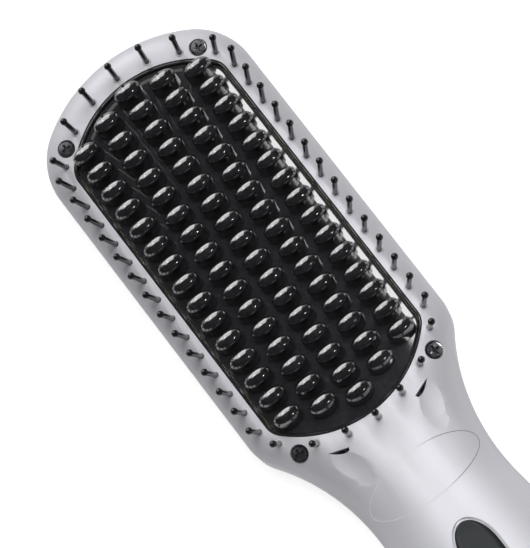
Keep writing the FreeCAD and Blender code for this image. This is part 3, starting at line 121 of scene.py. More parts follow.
# bed opening
BED_HALF = 27.7
BED_END = WAIST_AT - 29.8
BED_START = BED_END - 123.5
BED_CROWN = 36.0
BED_FOOT = 36.0
BED_CROWN_CORNER = 6.5
BED_FOOT_CORNER = 6.0
BED_ENDS = ((BED_START + BED_CROWN, BED_CROWN, BED_CROWN_CORNER, 1),
            (BED_END - BED_FOOT, BED_FOOT, BED_FOOT_CORNER, -1))    # the last number: towards the tip or the neck
BED_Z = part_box("heating_plate")[1].z / MM
PLATE_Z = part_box("heating_plate")[0].z / MM
RIM_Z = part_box("bed_rim")[1].z / MM


# ------------------------------------------------------------------ settings
def length(name, description, default):
    return FloatProperty(name=name, description=description, default=default, unit="LENGTH")


def paint(name, description, default):
    return FloatVectorProperty(name=name, description=description, default=default, subtype="COLOR",
                               min=0.0, max=1.0)


class BrushSizes(bpy.types.PropertyGroup):
    """Sizes of the pieces that a user would change."""
    stud_across: length("Stud width", "Across the brush", 0.0087)
    stud_along: length("Stud depth", "Along the brush", 0.0049)
    stud_dome: length("Stud dome", "Height of the domed top", 0.0024)
    stud_pitch: length("Stud pitch", "Between studs of a column", 0.0070)
    column_pitch: length("Column pitch", "Between columns of studs", 0.010225)
    pin_radius: length("Pin radius", "Of a guard pin's shaft", 0.0008)
    pin_ball: length("Pin ball radius", "Of a guard pin's tip", 0.0011)
    pin_height: length("Pin height", "From the bezel to the top of the ball", 0.0137)
    screw_head: length("Screw head radius", "Of the cross-head screws", 0.0025)


class BrushColours(bpy.types.PropertyGroup):
    """Colours of the main finishes."""
    silver: paint("Silver paint", "Body paint", (0.66, 0.66, 0.70))
    glaze: paint("Dark glaze", "Studs and plate", (0.010, 0.010, 0.011))
    panel: paint("Panel", "Inlay of the grip", (0.0112, 0.0136, 0.0148))


class StudioSettings(bpy.types.PropertyGroup):
    """Camera, lamps and floor."""
    distance: length("Camera distance", "From the bezel", 0.95)
    tilt: FloatProperty(name="Camera tilt", description="Off the face, towards the handle",
                        default=math.radians(12.5), subtype="ANGLE")
    field: length("Field height", "Height of the view at the bezel", 0.1595)
    world_light: FloatProperty(name="World light", description="Strength for matt surfaces", default=0.08,
                               min=0.0)
    floor_size: length("Floor size", "Side of the floor", 8.0)


def sizes():
    return bpy.context.scene.brush_sizes


def colours():
    return bpy.context.scene.brush_colours


def studio():
    return bpy.context.scene.brush_studio


# ------------------------------------------------------------------ form of the body
def at(x, station, z=0.0):
    """Point in metres from millimetres across, the station and the height."""
    return Vector((x, TIP_Y - station, z)) * MM


def smooth(share):
    share = max(0.0, min(1.0, share))
    return share * share * (3 - 2 * share)


def eased(station, levels):
    for (start, low), (end, high) in zip(levels, levels[1:]):
        if station <= end:
            return low + (high - low) * smooth((station - start) / (end - start))
    return levels[-1][1]


def half_width(station):
    """Half of the plan width: head, shoulder, neck, grip and tail arcs, all tangent."""
    neck_x = WAIST_WIDTH / 2 + NECK_RADIUS
    shoulder_x = HEAD_WIDTH / 2 - SHOULDER_RADIUS
    reach = NECK_RADIUS + SHOULDER_RADIUS
    run = math.sqrt(reach ** 2 - (neck_x - shoulder_x) ** 2)
    start = WAIST_AT - run
    if station <= start:
        return HEAD_WIDTH / 2
    if station <= start + SHOULDER_RADIUS * run / reach:
        return shoulder_x + math.sqrt(SHOULDER_RADIUS ** 2 - (station - start) ** 2)
    run = GRIP_AT - WAIST_AT
    across = neck_x - GRIP_WIDTH / 2
    grip_radius = (run ** 2 + across ** 2 - NECK_RADIUS ** 2) / (2 * (NECK_RADIUS - across))
    if station <= WAIST_AT + run * NECK_RADIUS / (NECK_RADIUS + grip_radius):
        return neck_x - math.sqrt(NECK_RADIUS ** 2 - (station - WAIST_AT) ** 2)
    if station <= GRIP_AT:
        return GRIP_WIDTH / 2 - grip_radius + math.sqrt(grip_radius ** 2 - (station - GRIP_AT) ** 2)
    drop = (GRIP_WIDTH - END_WIDTH) / 2
    tail = ((SHELL_LENGTH - GRIP_AT) ** 2 + drop ** 2) / (2 * drop)
    return GRIP_WIDTH / 2 - tail + math.sqrt(tail ** 2 - (station - GRIP_AT) ** 2)


def section_sizes(station, side, inset):
    """Half width, height, and width and height of the edge rounding."""
    share = max(0.0, station + inset - SHELL_LENGTH + END_ROUND) / END_ROUND
    draw_in = math.sqrt(max(0.0, 1 - (END_TAPER * share) ** 2))
    width = half_width(station) * draw_in - inset
    height = eased(station, LEVELS[side]) * draw_in - inset
    blend = smooth((station - LEVEL_END) / (BLEND_END - LEVEL_END))
    round_width, round_height = (size - inset for size in EDGE_ROUND[side])
    round_width += (width - OVAL_FLAT - round_width) * blend
    round_height += (height - OVAL_SIDE - round_height) * blend
    return width, height, round_width, round_height


def quarter(share):
    """Point of the edge rounding: how far it has gone inwards and upwards, both from 0 to 1."""
    rest = 1 - share
    inward = 3 * rest * share ** 2 * (1 - ROUND_SHARE) + share ** 3
    upward = 3 * rest ** 2 * share * ROUND_SHARE + 3 * rest * share ** 2 + share ** 3
    return inward, upward


def corner_arc(half, radius, corner):
    """Centre of the corner arc beside an end arc, across and short of that arc's centre, and their meeting angle."""
    across = half - corner
    short = math.sqrt((radius - corner) ** 2 - across ** 2)
    return across, short, math.degrees(math.atan2(short, across))


def crown_geometry():
    """Corner arcs' centre, across and along, and the angle where they meet the crown."""
    across, short, meet = corner_arc(HEAD_WIDTH / 2, CROWN_RADIUS, CORNER_RADIUS)
    return across, CROWN_RADIUS - short, meet


def edge_distance(x, station):
    """Distance in plan from a point to the outline."""
    corner_x, corner_station, meet = crown_geometry()
    if station >= corner_station:
        return half_width(station) - abs(x)
    angle = math.degrees(math.atan2(CROWN_RADIUS - station, abs(x)))
    if angle > meet:
        return CROWN_RADIUS - math.hypot(x, CROWN_RADIUS - station)
    return CORNER_RADIUS - math.hypot(max(0.0, abs(x) - corner_x), corner_station - station)


def rise_at(distance, height, round_width, round_height):
    """Height of the surface above the parting plane, from the distance to the outline."""
    if distance >= round_width:
        return height
    goal = max(0.0, distance / round_width)
    low, high = 0.0, 1.0
    for _ in range(24):
        middle = (low + high) / 2
        if quarter(middle)[0] < goal:
            low = middle
        else:
            high = middle
    return height - round_height + round_height * quarter(low)[1]


def surface_z(x, station):
    """Height in millimetres of the front surface over a point in plan."""
    _, *section = section_sizes(station, FRONT, 0.0)
    return PARTING_Z + rise_at(edge_distance(x, station), *section)


# ------------------------------------------------------------------ mesh helpers
SHARP = math.radians(32)
CUT_THROUGH = (20.0, 60.0)    # heights between which a cutter goes through the front half
UP = Vector((0, 0, 1))


def new_object(name, mesh, finish=None):
    made = bpy.data.objects.new(name, mesh)
    bpy.context.scene.collection.objects.link(made)
    if finish is not None:
        mesh.materials.append(finish)
    return made


def from_bmesh(name, build, finish=None, sharp=SHARP):
    """Object from a bmesh, with merged doubles, outward normals, smooth faces and sharp edges kept."""
    bmesh.ops.remove_doubles(build, verts=build.verts, dist=0.004 * MM)
    bmesh.ops.dissolve_degenerate(build, edges=build.edges, dist=0.002 * MM)
    bmesh.ops.recalc_face_normals(build, faces=build.faces)
    mesh = bpy.data.meshes.new(name)
    build.to_mesh(mesh)
    build.free()
    made = new_object(name, mesh, finish)
    shade(made, sharp)
    return made


def shade(made, sharp=SHARP):
    made.data.shade_smooth()
    made.data.set_sharp_from_angle(angle=sharp)
    return made


def grid_faces(build, rows, close_rows=False, close_columns=False):
    """Quads between rows of points, all rows having as many."""
    made = [[build.verts.new(p) for p in row] for row in rows]
    count = len(made[0])
    row_pairs = list(zip(made, made[1:])) + ([(made[-1], made[0])] if close_rows else [])
    for first, second in row_pairs:
        for i in range(count if close_columns else count - 1):
            j = (i + 1) % count
            build.faces.new((first[i], first[j], second[j], second[i]))
    return made


def close_sides(build, upper, lower):
    """Walls between the first and the last columns of two grids."""
    for edge in (0, -1):
        for i in range(len(upper) - 1):
            build.faces.new((upper[i][edge], upper[i + 1][edge], lower[i + 1][edge], lower[i][edge]))


def circle(steps):
    """Points of a unit circle."""
    return [(math.cos(2 * math.pi * i / steps), math.sin(2 * math.pi * i / steps)) for i in range(steps)]


def skin(name, rows, finish=None, sharp=SHARP, loop=False, caps=False):
    """Piece from rows of points that go round it, the last row joined to the first or both ends capped."""
    build = bmesh.new()
    made = grid_faces(build, rows, close_rows=loop, close_columns=True)
    if caps:
        build.faces.new(made[0])
        build.faces.new(made[-1])
    return from_bmesh(name, build, finish, sharp)


def lathe(name, profile, centre, axis, steps, finish=None, sharp=SHARP):
    """Turned piece: profile points are (radius, length along the axis) in millimetres."""
    turn = UP.rotation_difference(axis)
    return skin(name, [[centre + turn @ Vector((r * x, r * y, z)) * MM for x, y in circle(steps)]
                       for r, z in profile], finish, sharp)


def join(name, parts):
    """One object from several, keeping the first one's materials."""
    build = bmesh.new()
    for part in parts:
        build.from_mesh(part.data)
    mesh = bpy.data.meshes.new(name)
    build.to_mesh(mesh)
    build.free()
    for material in parts[0].data.materials:
        mesh.materials.append(material)
    for part in parts:
        bpy.data.objects.remove(part)
    return new_object(name, mesh)


def carve(target, cutters):
    """Takes closed cutters out of a closed piece and leaves a plain mesh."""
    for cutter in cutters:
        modifier = target.modifiers.new("carve", "BOOLEAN")
        modifier.operation = "DIFFERENCE"
        modifier.solver = "EXACT"
        modifier.object = cutter
        bpy.context.view_layer.update()
        evaluated = target.evaluated_get(bpy.context.evaluated_depsgraph_get())
        mesh = bpy.data.meshes.new_from_object(evaluated)
        target.modifiers.remove(modifier)
        old = target.data
        target.data = mesh
        bpy.data.meshes.remove(old)
    for cutter in cutters:
        bpy.data.objects.remove(cutter)
    return target


def arc_points(centre_x, centre_s, radius, start, end, steps):
    """Plan points of an arc; angles in degrees from +X towards the tip."""
    points = []
    for i in range(steps + 1):
        turn = math.radians(start + (end - start) * i / steps)
        points.append((centre_x + radius * math.cos(turn), centre_s - radius * math.sin(turn)))
    return points


def bed_plan(inset, corner_steps=10, arc_steps=36, side_steps=40):
    """Closed plan outline of the bed opening, taken in by inset."""
    ends = []
    for centre, radius, corner, hand in BED_ENDS:
        corner_x, short, meet = corner_arc(BED_HALF, radius, corner)
        corner_s = centre - short * hand
        start = 90 - 90 * hand
        end = arc_points(hand * corner_x, corner_s, corner - inset, start, start + meet, corner_steps)
        end += arc_points(0, centre, radius - inset, start + meet, start + 180 - meet, arc_steps)[1:]
        end += arc_points(-hand * corner_x, corner_s, corner - inset, start + 180 - meet, start + 180,
                          corner_steps)[1:]
        ends.append(end)
    points = []
    for end, other in (ends, reversed(ends)):
        (x, low), (_, high) = end[-1], other[0]
        points += end + [(x, low + (high - low) * (i / side_steps)) for i in range(1, side_steps)]
    return points


def prism(name, plan, low, high):
    """Upright prism over a closed plan outline."""
    return skin(name, [[at(x, s, z) for x, s in plan] for z in (low, high)], caps=True)


def round_plan(x, station, radius, steps=48):
    return arc_points(x, station, radius, 0, 360, steps)[:-1]


# ------------------------------------------------------------------ finishes
def add_node(tree, kind, inputs, **settings):
    """New node with its settings; an input is set, or linked where a socket is given. Returns its outputs."""
    made = tree.nodes.new(kind)
    for name, value in settings.items():
        setattr(made, name, value)
    for name, value in inputs.items():
        if isinstance(value, bpy.types.NodeSocket):
            tree.links.new(value, made.inputs[name])
        else:
            made.inputs[name].default_value = value
    return made.outputs


class Finish:
    """Procedural material on object coordinates."""

    def __init__(self, name):
        self.material = bpy.data.materials.new(name)
        self.material.use_nodes = True
        self.tree = self.material.node_tree
        self.shader = self.tree.nodes["Principled BSDF"]
        self.place = add_node(self.tree, "ShaderNodeTexCoord", {})["Object"]

    def set(self, **values):
        names = {"metallic": "Metallic", "coat": "Coat Weight", "coat_roughness": "Coat Roughness",
                 "ior": "IOR", "specular": "Specular IOR Level", "transmission": "Transmission Weight",
                 "subsurface": "Subsurface Weight"}
        for key, value in values.items():
            self.shader.inputs[names[key]].default_value = value

    def drive(self, name, value):
        self.tree.links.new(value, self.shader.inputs[name])

    def noise(self, size, detail=3.0, roughness=0.55, stretch=None):
        """Noise whose grain is size millimetres across."""
        place = self.place
        if stretch is not None:
            place = add_node(self.tree, "ShaderNodeMapping", {"Scale": stretch, "Vector": place})["Vector"]
        return add_node(self.tree, "ShaderNodeTexNoise", {
            "Scale": 1.0 / (size * MM), "Detail": detail, "Roughness": roughness, "Vector": place})["Fac"]

    def spread(self, value, low, high, start=0.3, end=0.7):
        """Maps a noise value to a range."""
        return add_node(self.tree, "ShaderNodeMapRange", {
            "From Min": start, "From Max": end, "To Min": low, "To Max": high, "Value": value})["Result"]

    def colour(self, value, low, high):
        """Base colour between two tones."""
        self.drive("Base Color", add_node(self.tree, "ShaderNodeMix", {
            "A": (*low, 1.0), "B": (*high, 1.0), "Factor": self.spread(value, 0.0, 1.0)},
            data_type="RGBA")["Result"])

    def rough(self, value, low, high):
        self.drive("Roughness", self.spread(value, low, high))

    def bump(self, value, height, strength):
        """Relief of a height in millimetres."""
        self.drive("Normal", add_node(self.tree, "ShaderNodeBump", {
            "Distance": height * MM, "Strength": strength, "Height": value})["Normal"])


def tone(colour, factor):
    return tuple(min(1.0, c * factor) for c in colour)


def grained(name, low, high, rough, grain, rough_grain=None, relief_grain=None, relief=None, **shader):
    """Finish whose tone, gloss and relief each follow a noise, the last two the tone's own by default."""
    made = Finish(name)
    value = made.noise(*grain)
    made.colour(value, low, high)
    made.rough(made.noise(*rough_grain) if rough_grain else value, *rough)
    if relief:
        made.bump(made.noise(*relief_grain) if relief_grain else value, *relief)
    made.set(**shader)
    return made.material


def moulded(name, low, high, rough=(0.42, 0.55), grain=0.35, relief=0.012, **shader):
    """Plain moulded plastic or rubber with a fine even texture."""
    return grained(name, low, high, rough, (grain * 6,), (grain * 3,), (grain, 2.0), (relief, 0.6), **shader)


def metal(name, low, high, rough, grain, stretch=None, relief=0.01):
    return grained(name, low, high, rough, (grain, 4.0, 0.55, stretch), relief=(relief, 0.5), metallic=0.9)


def silver_paint():
    """Satin silver paint with a fine flake under a thin clear layer."""
    base = colours().silver
    return grained("satin_silver_paint", tone(base, 0.955), tone(base, 1.035), (0.50, 0.54), (0.16, 1.0),
                   (22.0, 2.0), None, (0.004, 0.35), metallic=0.24, specular=0.25)


def dark_glaze():
    """Thin glossy ceramic glaze of the studs."""
    base = colours().glaze
    return grained("dark_ceramic_glaze", tone(base, 0.8), tone(base, 1.7), (0.10, 0.17), (2.2,), (1.1,), None,
                   (0.02, 0.25), specular=0.9, ior=1.65)


def plate_glaze():
    """The glaze on the flat plate, thinner and so paler than on the studs."""
    base = tone(colours().glaze, 1.9)
    return grained("dark_plate_glaze", tone(base, 0.85), tone(base, 1.3), (0.10, 0.14), (1.6, 5.0, 0.65), None,
                   (4.5, 1.0), (0.03, 0.5), specular=0.9)


def panel_slate():
    """Dark slate inlay, smooth and evenly coloured."""
    base = colours().panel
    return grained("panel_dark_slate", tone(base, 0.925), tone(base, 1.075), (0.30, 0.38), (6.0,), None, (0.3,),
                   (0.003, 0.3), specular=0.35)


def mica():
    """Flaky mica sheet."""
    made = Finish("mica_flake")
    flake = add_node(made.tree, "ShaderNodeTexVoronoi", {"Scale": 400.0, "Vector": made.place})["Distance"]
    made.colour(flake, (0.5, 0.4, 0.22), (0.72, 0.62, 0.4))
    made.rough(flake, 0.2, 0.5)
    made.bump(flake, 0.03, 0.5)
    return made.material


def board_mask():
    """Green solder mask over glass weave."""
    made = Finish("solder_mask")
    weave = add_node(made.tree, "ShaderNodeTexBrick", {
        "Scale": 700.0, "Color1": (0.012, 0.11, 0.045, 1.0), "Color2": (0.02, 0.15, 0.06, 1.0),
        "Mortar": (0.01, 0.08, 0.03, 1.0), "Vector": made.place})
    made.drive("Base Color", weave["Color"])
    made.rough(made.noise(2.0), 0.25, 0.38)
    made.bump(weave["Fac"], 0.01, 0.4)
    return made.material


def crease_light_and_shade():
    """Fine line on the neck with a painted highlight at its left, plain paint over its middle and painted shade at
    its right, standing in for the light and shade of a fine crease.
    """
    made = Finish("neck_line_print")
    base = tuple(colours().silver)
    across = add_node(made.tree, "ShaderNodeSeparateXYZ", {"Vector": made.place})["X"]
    ramp = made.tree.nodes.new("ShaderNodeValToRGB")
    # painted highlight at the left stop, painted shade at the right stop
    stops = ((0.18, tone(base, 1.22)), (0.32, base), (0.55, base), (0.74, tone(base, 0.36)))
    while len(ramp.color_ramp.elements) < len(stops):
        ramp.color_ramp.elements.new(0.5)
    for element, (place, colour) in zip(ramp.color_ramp.elements, stops):
        element.position = place
        element.color = (*colour, 1.0)
    reach = NECK_LINE_FADE * MM
    made.tree.links.new(made.spread(across, 0.0, 1.0, -reach, reach), ramp.inputs["Fac"])
    made.drive("Base Color", ramp.outputs["Color"])
    made.rough(made.noise(0.2), 0.45, 0.55)
    made.set(specular=0.25)
    return made.material


def greys(low, high):
    """Two near-black tones that lean a little to blue."""
    return (low, low, low + 0.002), (high, high, high + 0.002)


MAKERS = {
    "silver_paint": silver_paint, "coated_stud": dark_glaze, "coated_plate": plate_glaze,
    # the neck line's finish paints the light and shade of a crease
    "panel_dark": panel_slate, "mica": mica, "board_green": board_mask, "neck_line": crease_light_and_shade,
}
GRAINED = {
    "bezel_lip": (("dark_lip_gloss", (0.012, 0.012, 0.013), (0.022, 0.022, 0.024), (0.12, 0.2), (5.0,),
                   None, (1.4,), (0.012, 0.3)), {"specular": 0.5}),
    "pin_plastic": (("pin_gloss_nylon", (0.004, 0.004, 0.005), (0.009, 0.009, 0.01), (0.14, 0.22), (1.5,),
                     None, None, (0.01, 0.3)), {"specular": 0.35}),
    "dark_screw": (("black_oxide_steel", (0.022, 0.022, 0.024), (0.075, 0.075, 0.08), (0.3, 0.48), (0.7, 4.0),
                    None, None, (0.01, 0.4)), {"metallic": 0.75}),
    "display_smoke": (("smoked_window", (0.012, 0.014, 0.016), (0.02, 0.023, 0.026), (0.05, 0.1), (4.0,),
                       (2.0,)), {"specular": 0.5, "coat": 0.5, "coat_roughness": 0.04}),
    "tank_plastic": (("frosted_tank", (0.62, 0.72, 0.8), (0.72, 0.8, 0.86), (0.25, 0.4), (5.0,), (1.0,),
                      (0.8,), (0.01, 0.3)), {"transmission": 0.6, "ior": 1.49}),
}
MOULDED = {
    "tray_plastic": ("tray_heat_resistant", (0.42, 0.34, 0.24), (0.5, 0.42, 0.3)),
    "heater_ceramic": ("heater_ceramic", (0.7, 0.68, 0.62), (0.8, 0.78, 0.72), (0.6, 0.75), 0.35, 0.02),
    "sensor_glass": ("sensor_resin", (0.62, 0.52, 0.36), (0.72, 0.62, 0.44)),
    "lead_sleeve": ("silicone_sleeve", (0.5, 0.03, 0.025), (0.6, 0.05, 0.04)),
    "pump_plastic": ("pump_black", (0.02, 0.02, 0.022), (0.035, 0.035, 0.038)),
    "seal_rubber": ("soft_rubber", *greys(0.024, 0.036), (0.55, 0.7), 0.35, 0.02),
    "display_body": ("display_body", *greys(0.03, 0.05)),
    "button_plastic": ("button_satin", (0.045, 0.05, 0.053), (0.06, 0.066, 0.07), (0.38, 0.48), 0.35, 0.006),
    "switch_black": ("switch_black", (0.015, 0.015, 0.015), (0.03, 0.03, 0.03)),
    "swivel_plastic": ("swivel_texture", (0.03, 0.03, 0.032), (0.045, 0.045, 0.048), (0.45, 0.6), 0.35, 0.02),
    "icon_white": ("icon_print", (0.6, 0.62, 0.64), (0.7, 0.72, 0.74), (0.42, 0.55), 0.1, 0.002),
}
METALS = {
    "sheet_steel": ("sheet_steel", (0.5, 0.5, 0.52), (0.66, 0.66, 0.68), (0.25, 0.4), 0.6, (1.0, 0.05, 1.0)),
    "boiler_alloy": ("cast_alloy", (0.5, 0.5, 0.5), (0.62, 0.62, 0.63), (0.4, 0.6), 0.9, None, 0.04),
}
FINISHES = {}


def finish(name):
    """The finish of a name, made once."""
    if name not in FINISHES:
        if name in MOULDED:
            FINISHES[name] = moulded(*MOULDED[name])
        elif name in METALS:
            FINISHES[name] = metal(*METALS[name])
        elif name in GRAINED:
            values, shader = GRAINED[name]
            FINISHES[name] = grained(*values, **shader)
        elif name == "hose_silicone":
            FINISHES[name] = moulded(name, (0.7, 0.7, 0.68), (0.8, 0.8, 0.78), subsurface=0.2)
        else:
            FINISHES[name] = MAKERS[name]()
    return FINISHES[name]


def settle(piece, body, slot, *replaced):
    """Rides a finished piece on its body and hides the CAD nodes that it stands for; the slot is not used."""
    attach(piece, body)
    if replaced:
        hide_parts(*replaced)
    return piece


# ------------------------------------------------------------------ geometry nodes
def instance_tree(name, source, material):
    """Tree that sets copies of a source mesh on the points of a mesh, turned by their direction."""
    tree = bpy.data.node_groups.new(name, "GeometryNodeTree")
    tree.is_modifier = True
    tree.interface.new_socket("Geometry", in_out="INPUT", socket_type="NodeSocketGeometry")
    size = tree.interface.new_socket("Size", in_out="INPUT", socket_type="NodeSocketFloat")
    size.default_value = 1.0
    tree.interface.new_socket("Geometry", in_out="OUTPUT", socket_type="NodeSocketGeometry")
    entry = add_node(tree, "NodeGroupInput", {})
    piece = add_node(tree, "GeometryNodeObjectInfo", {"Object": source})["Geometry"]
    heading = add_node(tree, "GeometryNodeInputNamedAttribute", {"Name": "heading"},
                       data_type="FLOAT_VECTOR")["Attribute"]
    turn = add_node(tree, "FunctionNodeAlignRotationToVector", {"Vector": heading}, axis="Z")["Rotation"]
    copies = add_node(tree, "GeometryNodeInstanceOnPoints", {
        "Points": entry["Geometry"], "Instance": piece, "Rotation": turn, "Scale": entry["Size"]})["Instances"]
    real = add_node(tree, "GeometryNodeRealizeInstances", {"Geometry": copies})["Geometry"]
    painted = add_node(tree, "GeometryNodeSetMaterial", {"Geometry": real, "Material": material})["Geometry"]
    add_node(tree, "NodeGroupOutput", {"Geometry": painted})
    return tree, size.identifier


def set_copies(name, source, spots, material):
    """Copies of a source piece at (point, direction) spots, as one plain mesh."""
    mesh = bpy.data.meshes.new(name + "_spots")
    mesh.from_pydata([tuple(point) for point, _ in spots], [], [])
    heading = mesh.attributes.new("heading", "FLOAT_VECTOR", "POINT")
    for i, (_, direction) in enumerate(spots):
        heading.data[i].vector = direction
    carrier = new_object(name + "_carrier", mesh)
    tree, size_socket = instance_tree(name + "_copies", source, material)
    modifier = carrier.modifiers.new("copies", "NODES")
    modifier.node_group = tree
    modifier[size_socket] = 1.0
    bpy.context.view_layer.update()
    evaluated = carrier.evaluated_get(bpy.context.evaluated_depsgraph_get())
    made = new_object(name, bpy.data.meshes.new_from_object(evaluated))
    carrier.modifiers.remove(modifier)
    bpy.data.objects.remove(carrier)
    bpy.data.objects.remove(source)
    return shade(made)


# ------------------------------------------------------------------ shells
WALL_STEPS = 3
ROUND_STEPS = 14
TOP_STEPS = 12


def edge_columns(section, seam):
    """Distances inwards and rises up one side of a section, from the parting line to the flat top."""
    _, height, round_width, round_height = section
    wall = height - round_height
    columns = [(seam, 0.0)]
    columns += [(0.0, seam + (wall - seam) * i / WALL_STEPS) for i in range(WALL_STEPS + 1)]
    for i in range(1, ROUND_STEPS + 1):
        inward, upward = quarter(i / ROUND_STEPS)
        columns.append((round_width * inward, wall + round_height * upward))
    return columns


def over_top(half, goal):
    """Goes on with a half row over the flat top, to a station on the middle line."""
    x, station, rise = half[-1]
    shares = [i / TOP_STEPS for i in range(1, TOP_STEPS + 1)]
    return half + [(x * (1 - share), station + (goal - station) * share, rise) for share in shares]


def shell_rows(side, inset, seam):
    """Rows of points that cover one half of the body, from the tip of the head to the end of the handle."""
    corner_x, corner_station, meet = crown_geometry()
    columns = edge_columns(section_sizes(corner_station, side, inset), seam)
    halves = []
    for angle in [90 - (90 - meet) * i / 14 for i in range(14)] + [meet * (1 - i / 22) for i in range(22)]:
        across, along = math.cos(math.radians(angle)), math.sin(math.radians(angle))
        x, station, radius = ((0.0, CROWN_RADIUS, CROWN_RADIUS - inset) if angle >= meet else
                              (corner_x, corner_station, CORNER_RADIUS - inset))
        half = [(x + (radius - inward) * across, station - (radius - inward) * along, rise)
                for inward, rise in columns]
        halves.append(over_top(half, corner_station))
    level, neck, end = LEVEL_END - 4.0, WAIST_AT + 12.0, SHELL_LENGTH - inset
    stops = []
    for first, last, count in ((corner_station, level, 30), (level, neck, 60), (neck, end - END_ROUND, 60)):
        stops += [first + (last - first) * i / count for i in range(count)]
    stops += [end - END_ROUND + END_ROUND * math.sin(math.pi / 2 * i / 14) for i in range(15)]
    for station in stops:
        section = section_sizes(station, side, inset)
        half = [(section[0] - inward, station, rise) for inward, rise in edge_columns(section, seam)]
        halves.append(over_top(half, station))
    rows = []
    for half in halves:
        right, left = ([at(hand * x, s, PARTING_Z + side * rise) for x, s, rise in half] for hand in (1, -1))
        rows.append(right + left[-2::-1])
    return rows


def shell_blank(name, side, material):
    """Closed half shell with a wall, before its openings are cut."""
    build = bmesh.new()
    outer = grid_faces(build, shell_rows(side, 0.0, SEAM))
    inner = grid_faces(build, shell_rows(side, WALL, 0.0))
    for rows in (outer, inner):
        build.faces.new(rows[-1])
    close_sides(build, outer, inner)
    build.faces.new((outer[-1][0], outer[-1][-1], inner[-1][-1], inner[-1][0]))
    return from_bmesh(name, build, material)


def head_screw_spots():
    """Points where the undersides of the four head screws rest."""
    return [(hand * HEAD_SCREW_X, station, surface_z(HEAD_SCREW_X, station) - HEAD_SCREW_SUNK)
            for station in (BED_START + 5.2, BED_END - 3.5) for hand in (1, -1)]


HEAD_SCREW_X = 24.6
HEAD_SCREW_SUNK = 2.0
HEAD_WELL = 2.75
SLIT_TIP = (18.0, 1.7)
SLIT_NEAR_EDGE = (15.25, 2.7)
SLIT_ENDS = ((12.1, 3.9), (12.4, 4.7))
SLIT_FAR_EDGE = (14.8, 4.25)
SCOOP_RADIUS = 28.0
SCOOP_DEPTH = 0.55
SCOOP_X = 14.6
SCOOP_RUN = (8.6, 10.1)
PANEL_WIDTH = 11.6
PANEL_TIP = 10.0
FILLER_STATION = SHELL_LENGTH - 22.0
PANEL_END = FILLER_STATION - 12.0
PANEL_START = PANEL_END - 80.3
PANEL_SUNK = 0.35
WINDOW_STATION = PANEL_START + 28.0
WINDOW_WIDTH = 8.4
WINDOW_LENGTH = 15.0
CAP_RADIUS = 3.9
CAP_PROUD = 0.38
CAP_DISH = 0.22
STEM_FOOT = 28.55
BUTTON_NAMES = ("power_button", "minus_button", "plus_button", "steam_button")
BUTTONS = {name: PANEL_END - 9.0 - 10.0 * i for i, name in enumerate(BUTTON_NAMES)}
REAR_SCREW_STATION = GRIP_AT - 16.0
REAR_SCREW_X = 16.5
REAR_SEAT = 10.7
REAR_WELL = 2.85
FILLER_HOLE = 4.75
FILLER_RECESS = 6.5
FILLER_SUNK = 0.9
NECK_LINE_STATION = WAIST_AT - 6.4
NECK_LINE_ACROSS = 19.0
NECK_LINE_ALONG = 7.55
NECK_LINE_FADE = 20.0


def bowed(first, through, last, steps=14):
    """Points from first to last along a bow that passes a middle point."""
    pull = [2 * m - (a + b) / 2 for a, m, b in zip(first, through, last)]
    points = []
    for i in range(steps + 1):
        share = i / steps
        points.append(tuple((1 - share) ** 2 * a + 2 * share * (1 - share) * m + share ** 2 * b
                            for a, m, b in zip(first, pull, last)))
    return points


def crescent_plan(hand):
    """Steam slit: a crescent that leans towards the neck."""
    near = bowed(SLIT_TIP, SLIT_NEAR_EDGE, SLIT_ENDS[0])
    far = bowed(SLIT_ENDS[1], SLIT_FAR_EDGE, SLIT_TIP)
    return [(hand * x, BED_END + beyond) for x, beyond in near + far[:-1]]


def front_normal(x, station, step=0.5):
    """Outward direction of the front surface over a point in plan."""
    across = surface_z(x + step, station) - surface_z(x - step, station)
    along = surface_z(x, station + step) - surface_z(x, station - step)
    return Vector((-across, along, 2 * step)).normalized()


def relief_bar(hand):
    """Bar with round ends that hollows one thumb relief."""
    build = bmesh.new()
    places = [(hand * SCOOP_X, BED_END + beyond) for beyond in SCOOP_RUN]
    low, high = [at(*place, surface_z(*place)) + front_normal(*place) * (SCOOP_RADIUS - SCOOP_DEPTH) * MM
                 for place in places]
    bmesh.ops.create_uvsphere(build, u_segments=160, v_segments=120, radius=SCOOP_RADIUS * MM)
    for vertex in build.verts:
        vertex.co = vertex.co + (low if vertex.co.y > 0 else high)
    return from_bmesh("cut_relief", build)


def panel_half(station, grow=0.0):
    """Half the width of the panel, a slot with half-oval ends, made larger by grow all round."""
    run = PANEL_TIP + grow
    reach = max(PANEL_START - grow + run - station, station - PANEL_END - grow + run, 0.0)
    return (PANEL_WIDTH / 2 + grow) * math.sqrt(max(0.0, 1 - (reach / run) ** 2))


def panel_rows(grow=0.0, columns=14):
    """Plan rows that fill the panel's outline."""
    run, first, last = PANEL_TIP + grow, PANEL_START - grow, PANEL_END + grow
    stops = [first + run * (1 - math.cos(math.pi / 2 * i / 16)) for i in range(16)]
    stops += [first + run + (last - first - 2 * run) * i / 50 for i in range(51)]
    stops += [last - run + run * math.sin(math.pi / 2 * i / 16) for i in range(1, 17)]
    rows = []
    for station in stops:
        half = max(0.02, panel_half(station, grow))
        rows.append([(-half + 2 * half * i / columns, station) for i in range(columns + 1)])
    return rows


def panel_plan(grow):
    rows = panel_rows(grow)
    return [row[0] for row in rows] + [row[-1] for row in reversed(rows)]


def bevel_cutter(grow=1.0, width=0.85, depth=0.6):
    """Slanting cut round the edge of the panel's opening."""
    def low_of(x, s):
        return surface_z(x, s) - depth * min(1.0, (panel_half(s, grow) - abs(x)) / width)

    return draped("cut_bevel", panel_rows(grow), lambda x, s: CUT_THROUGH[1], low_of)


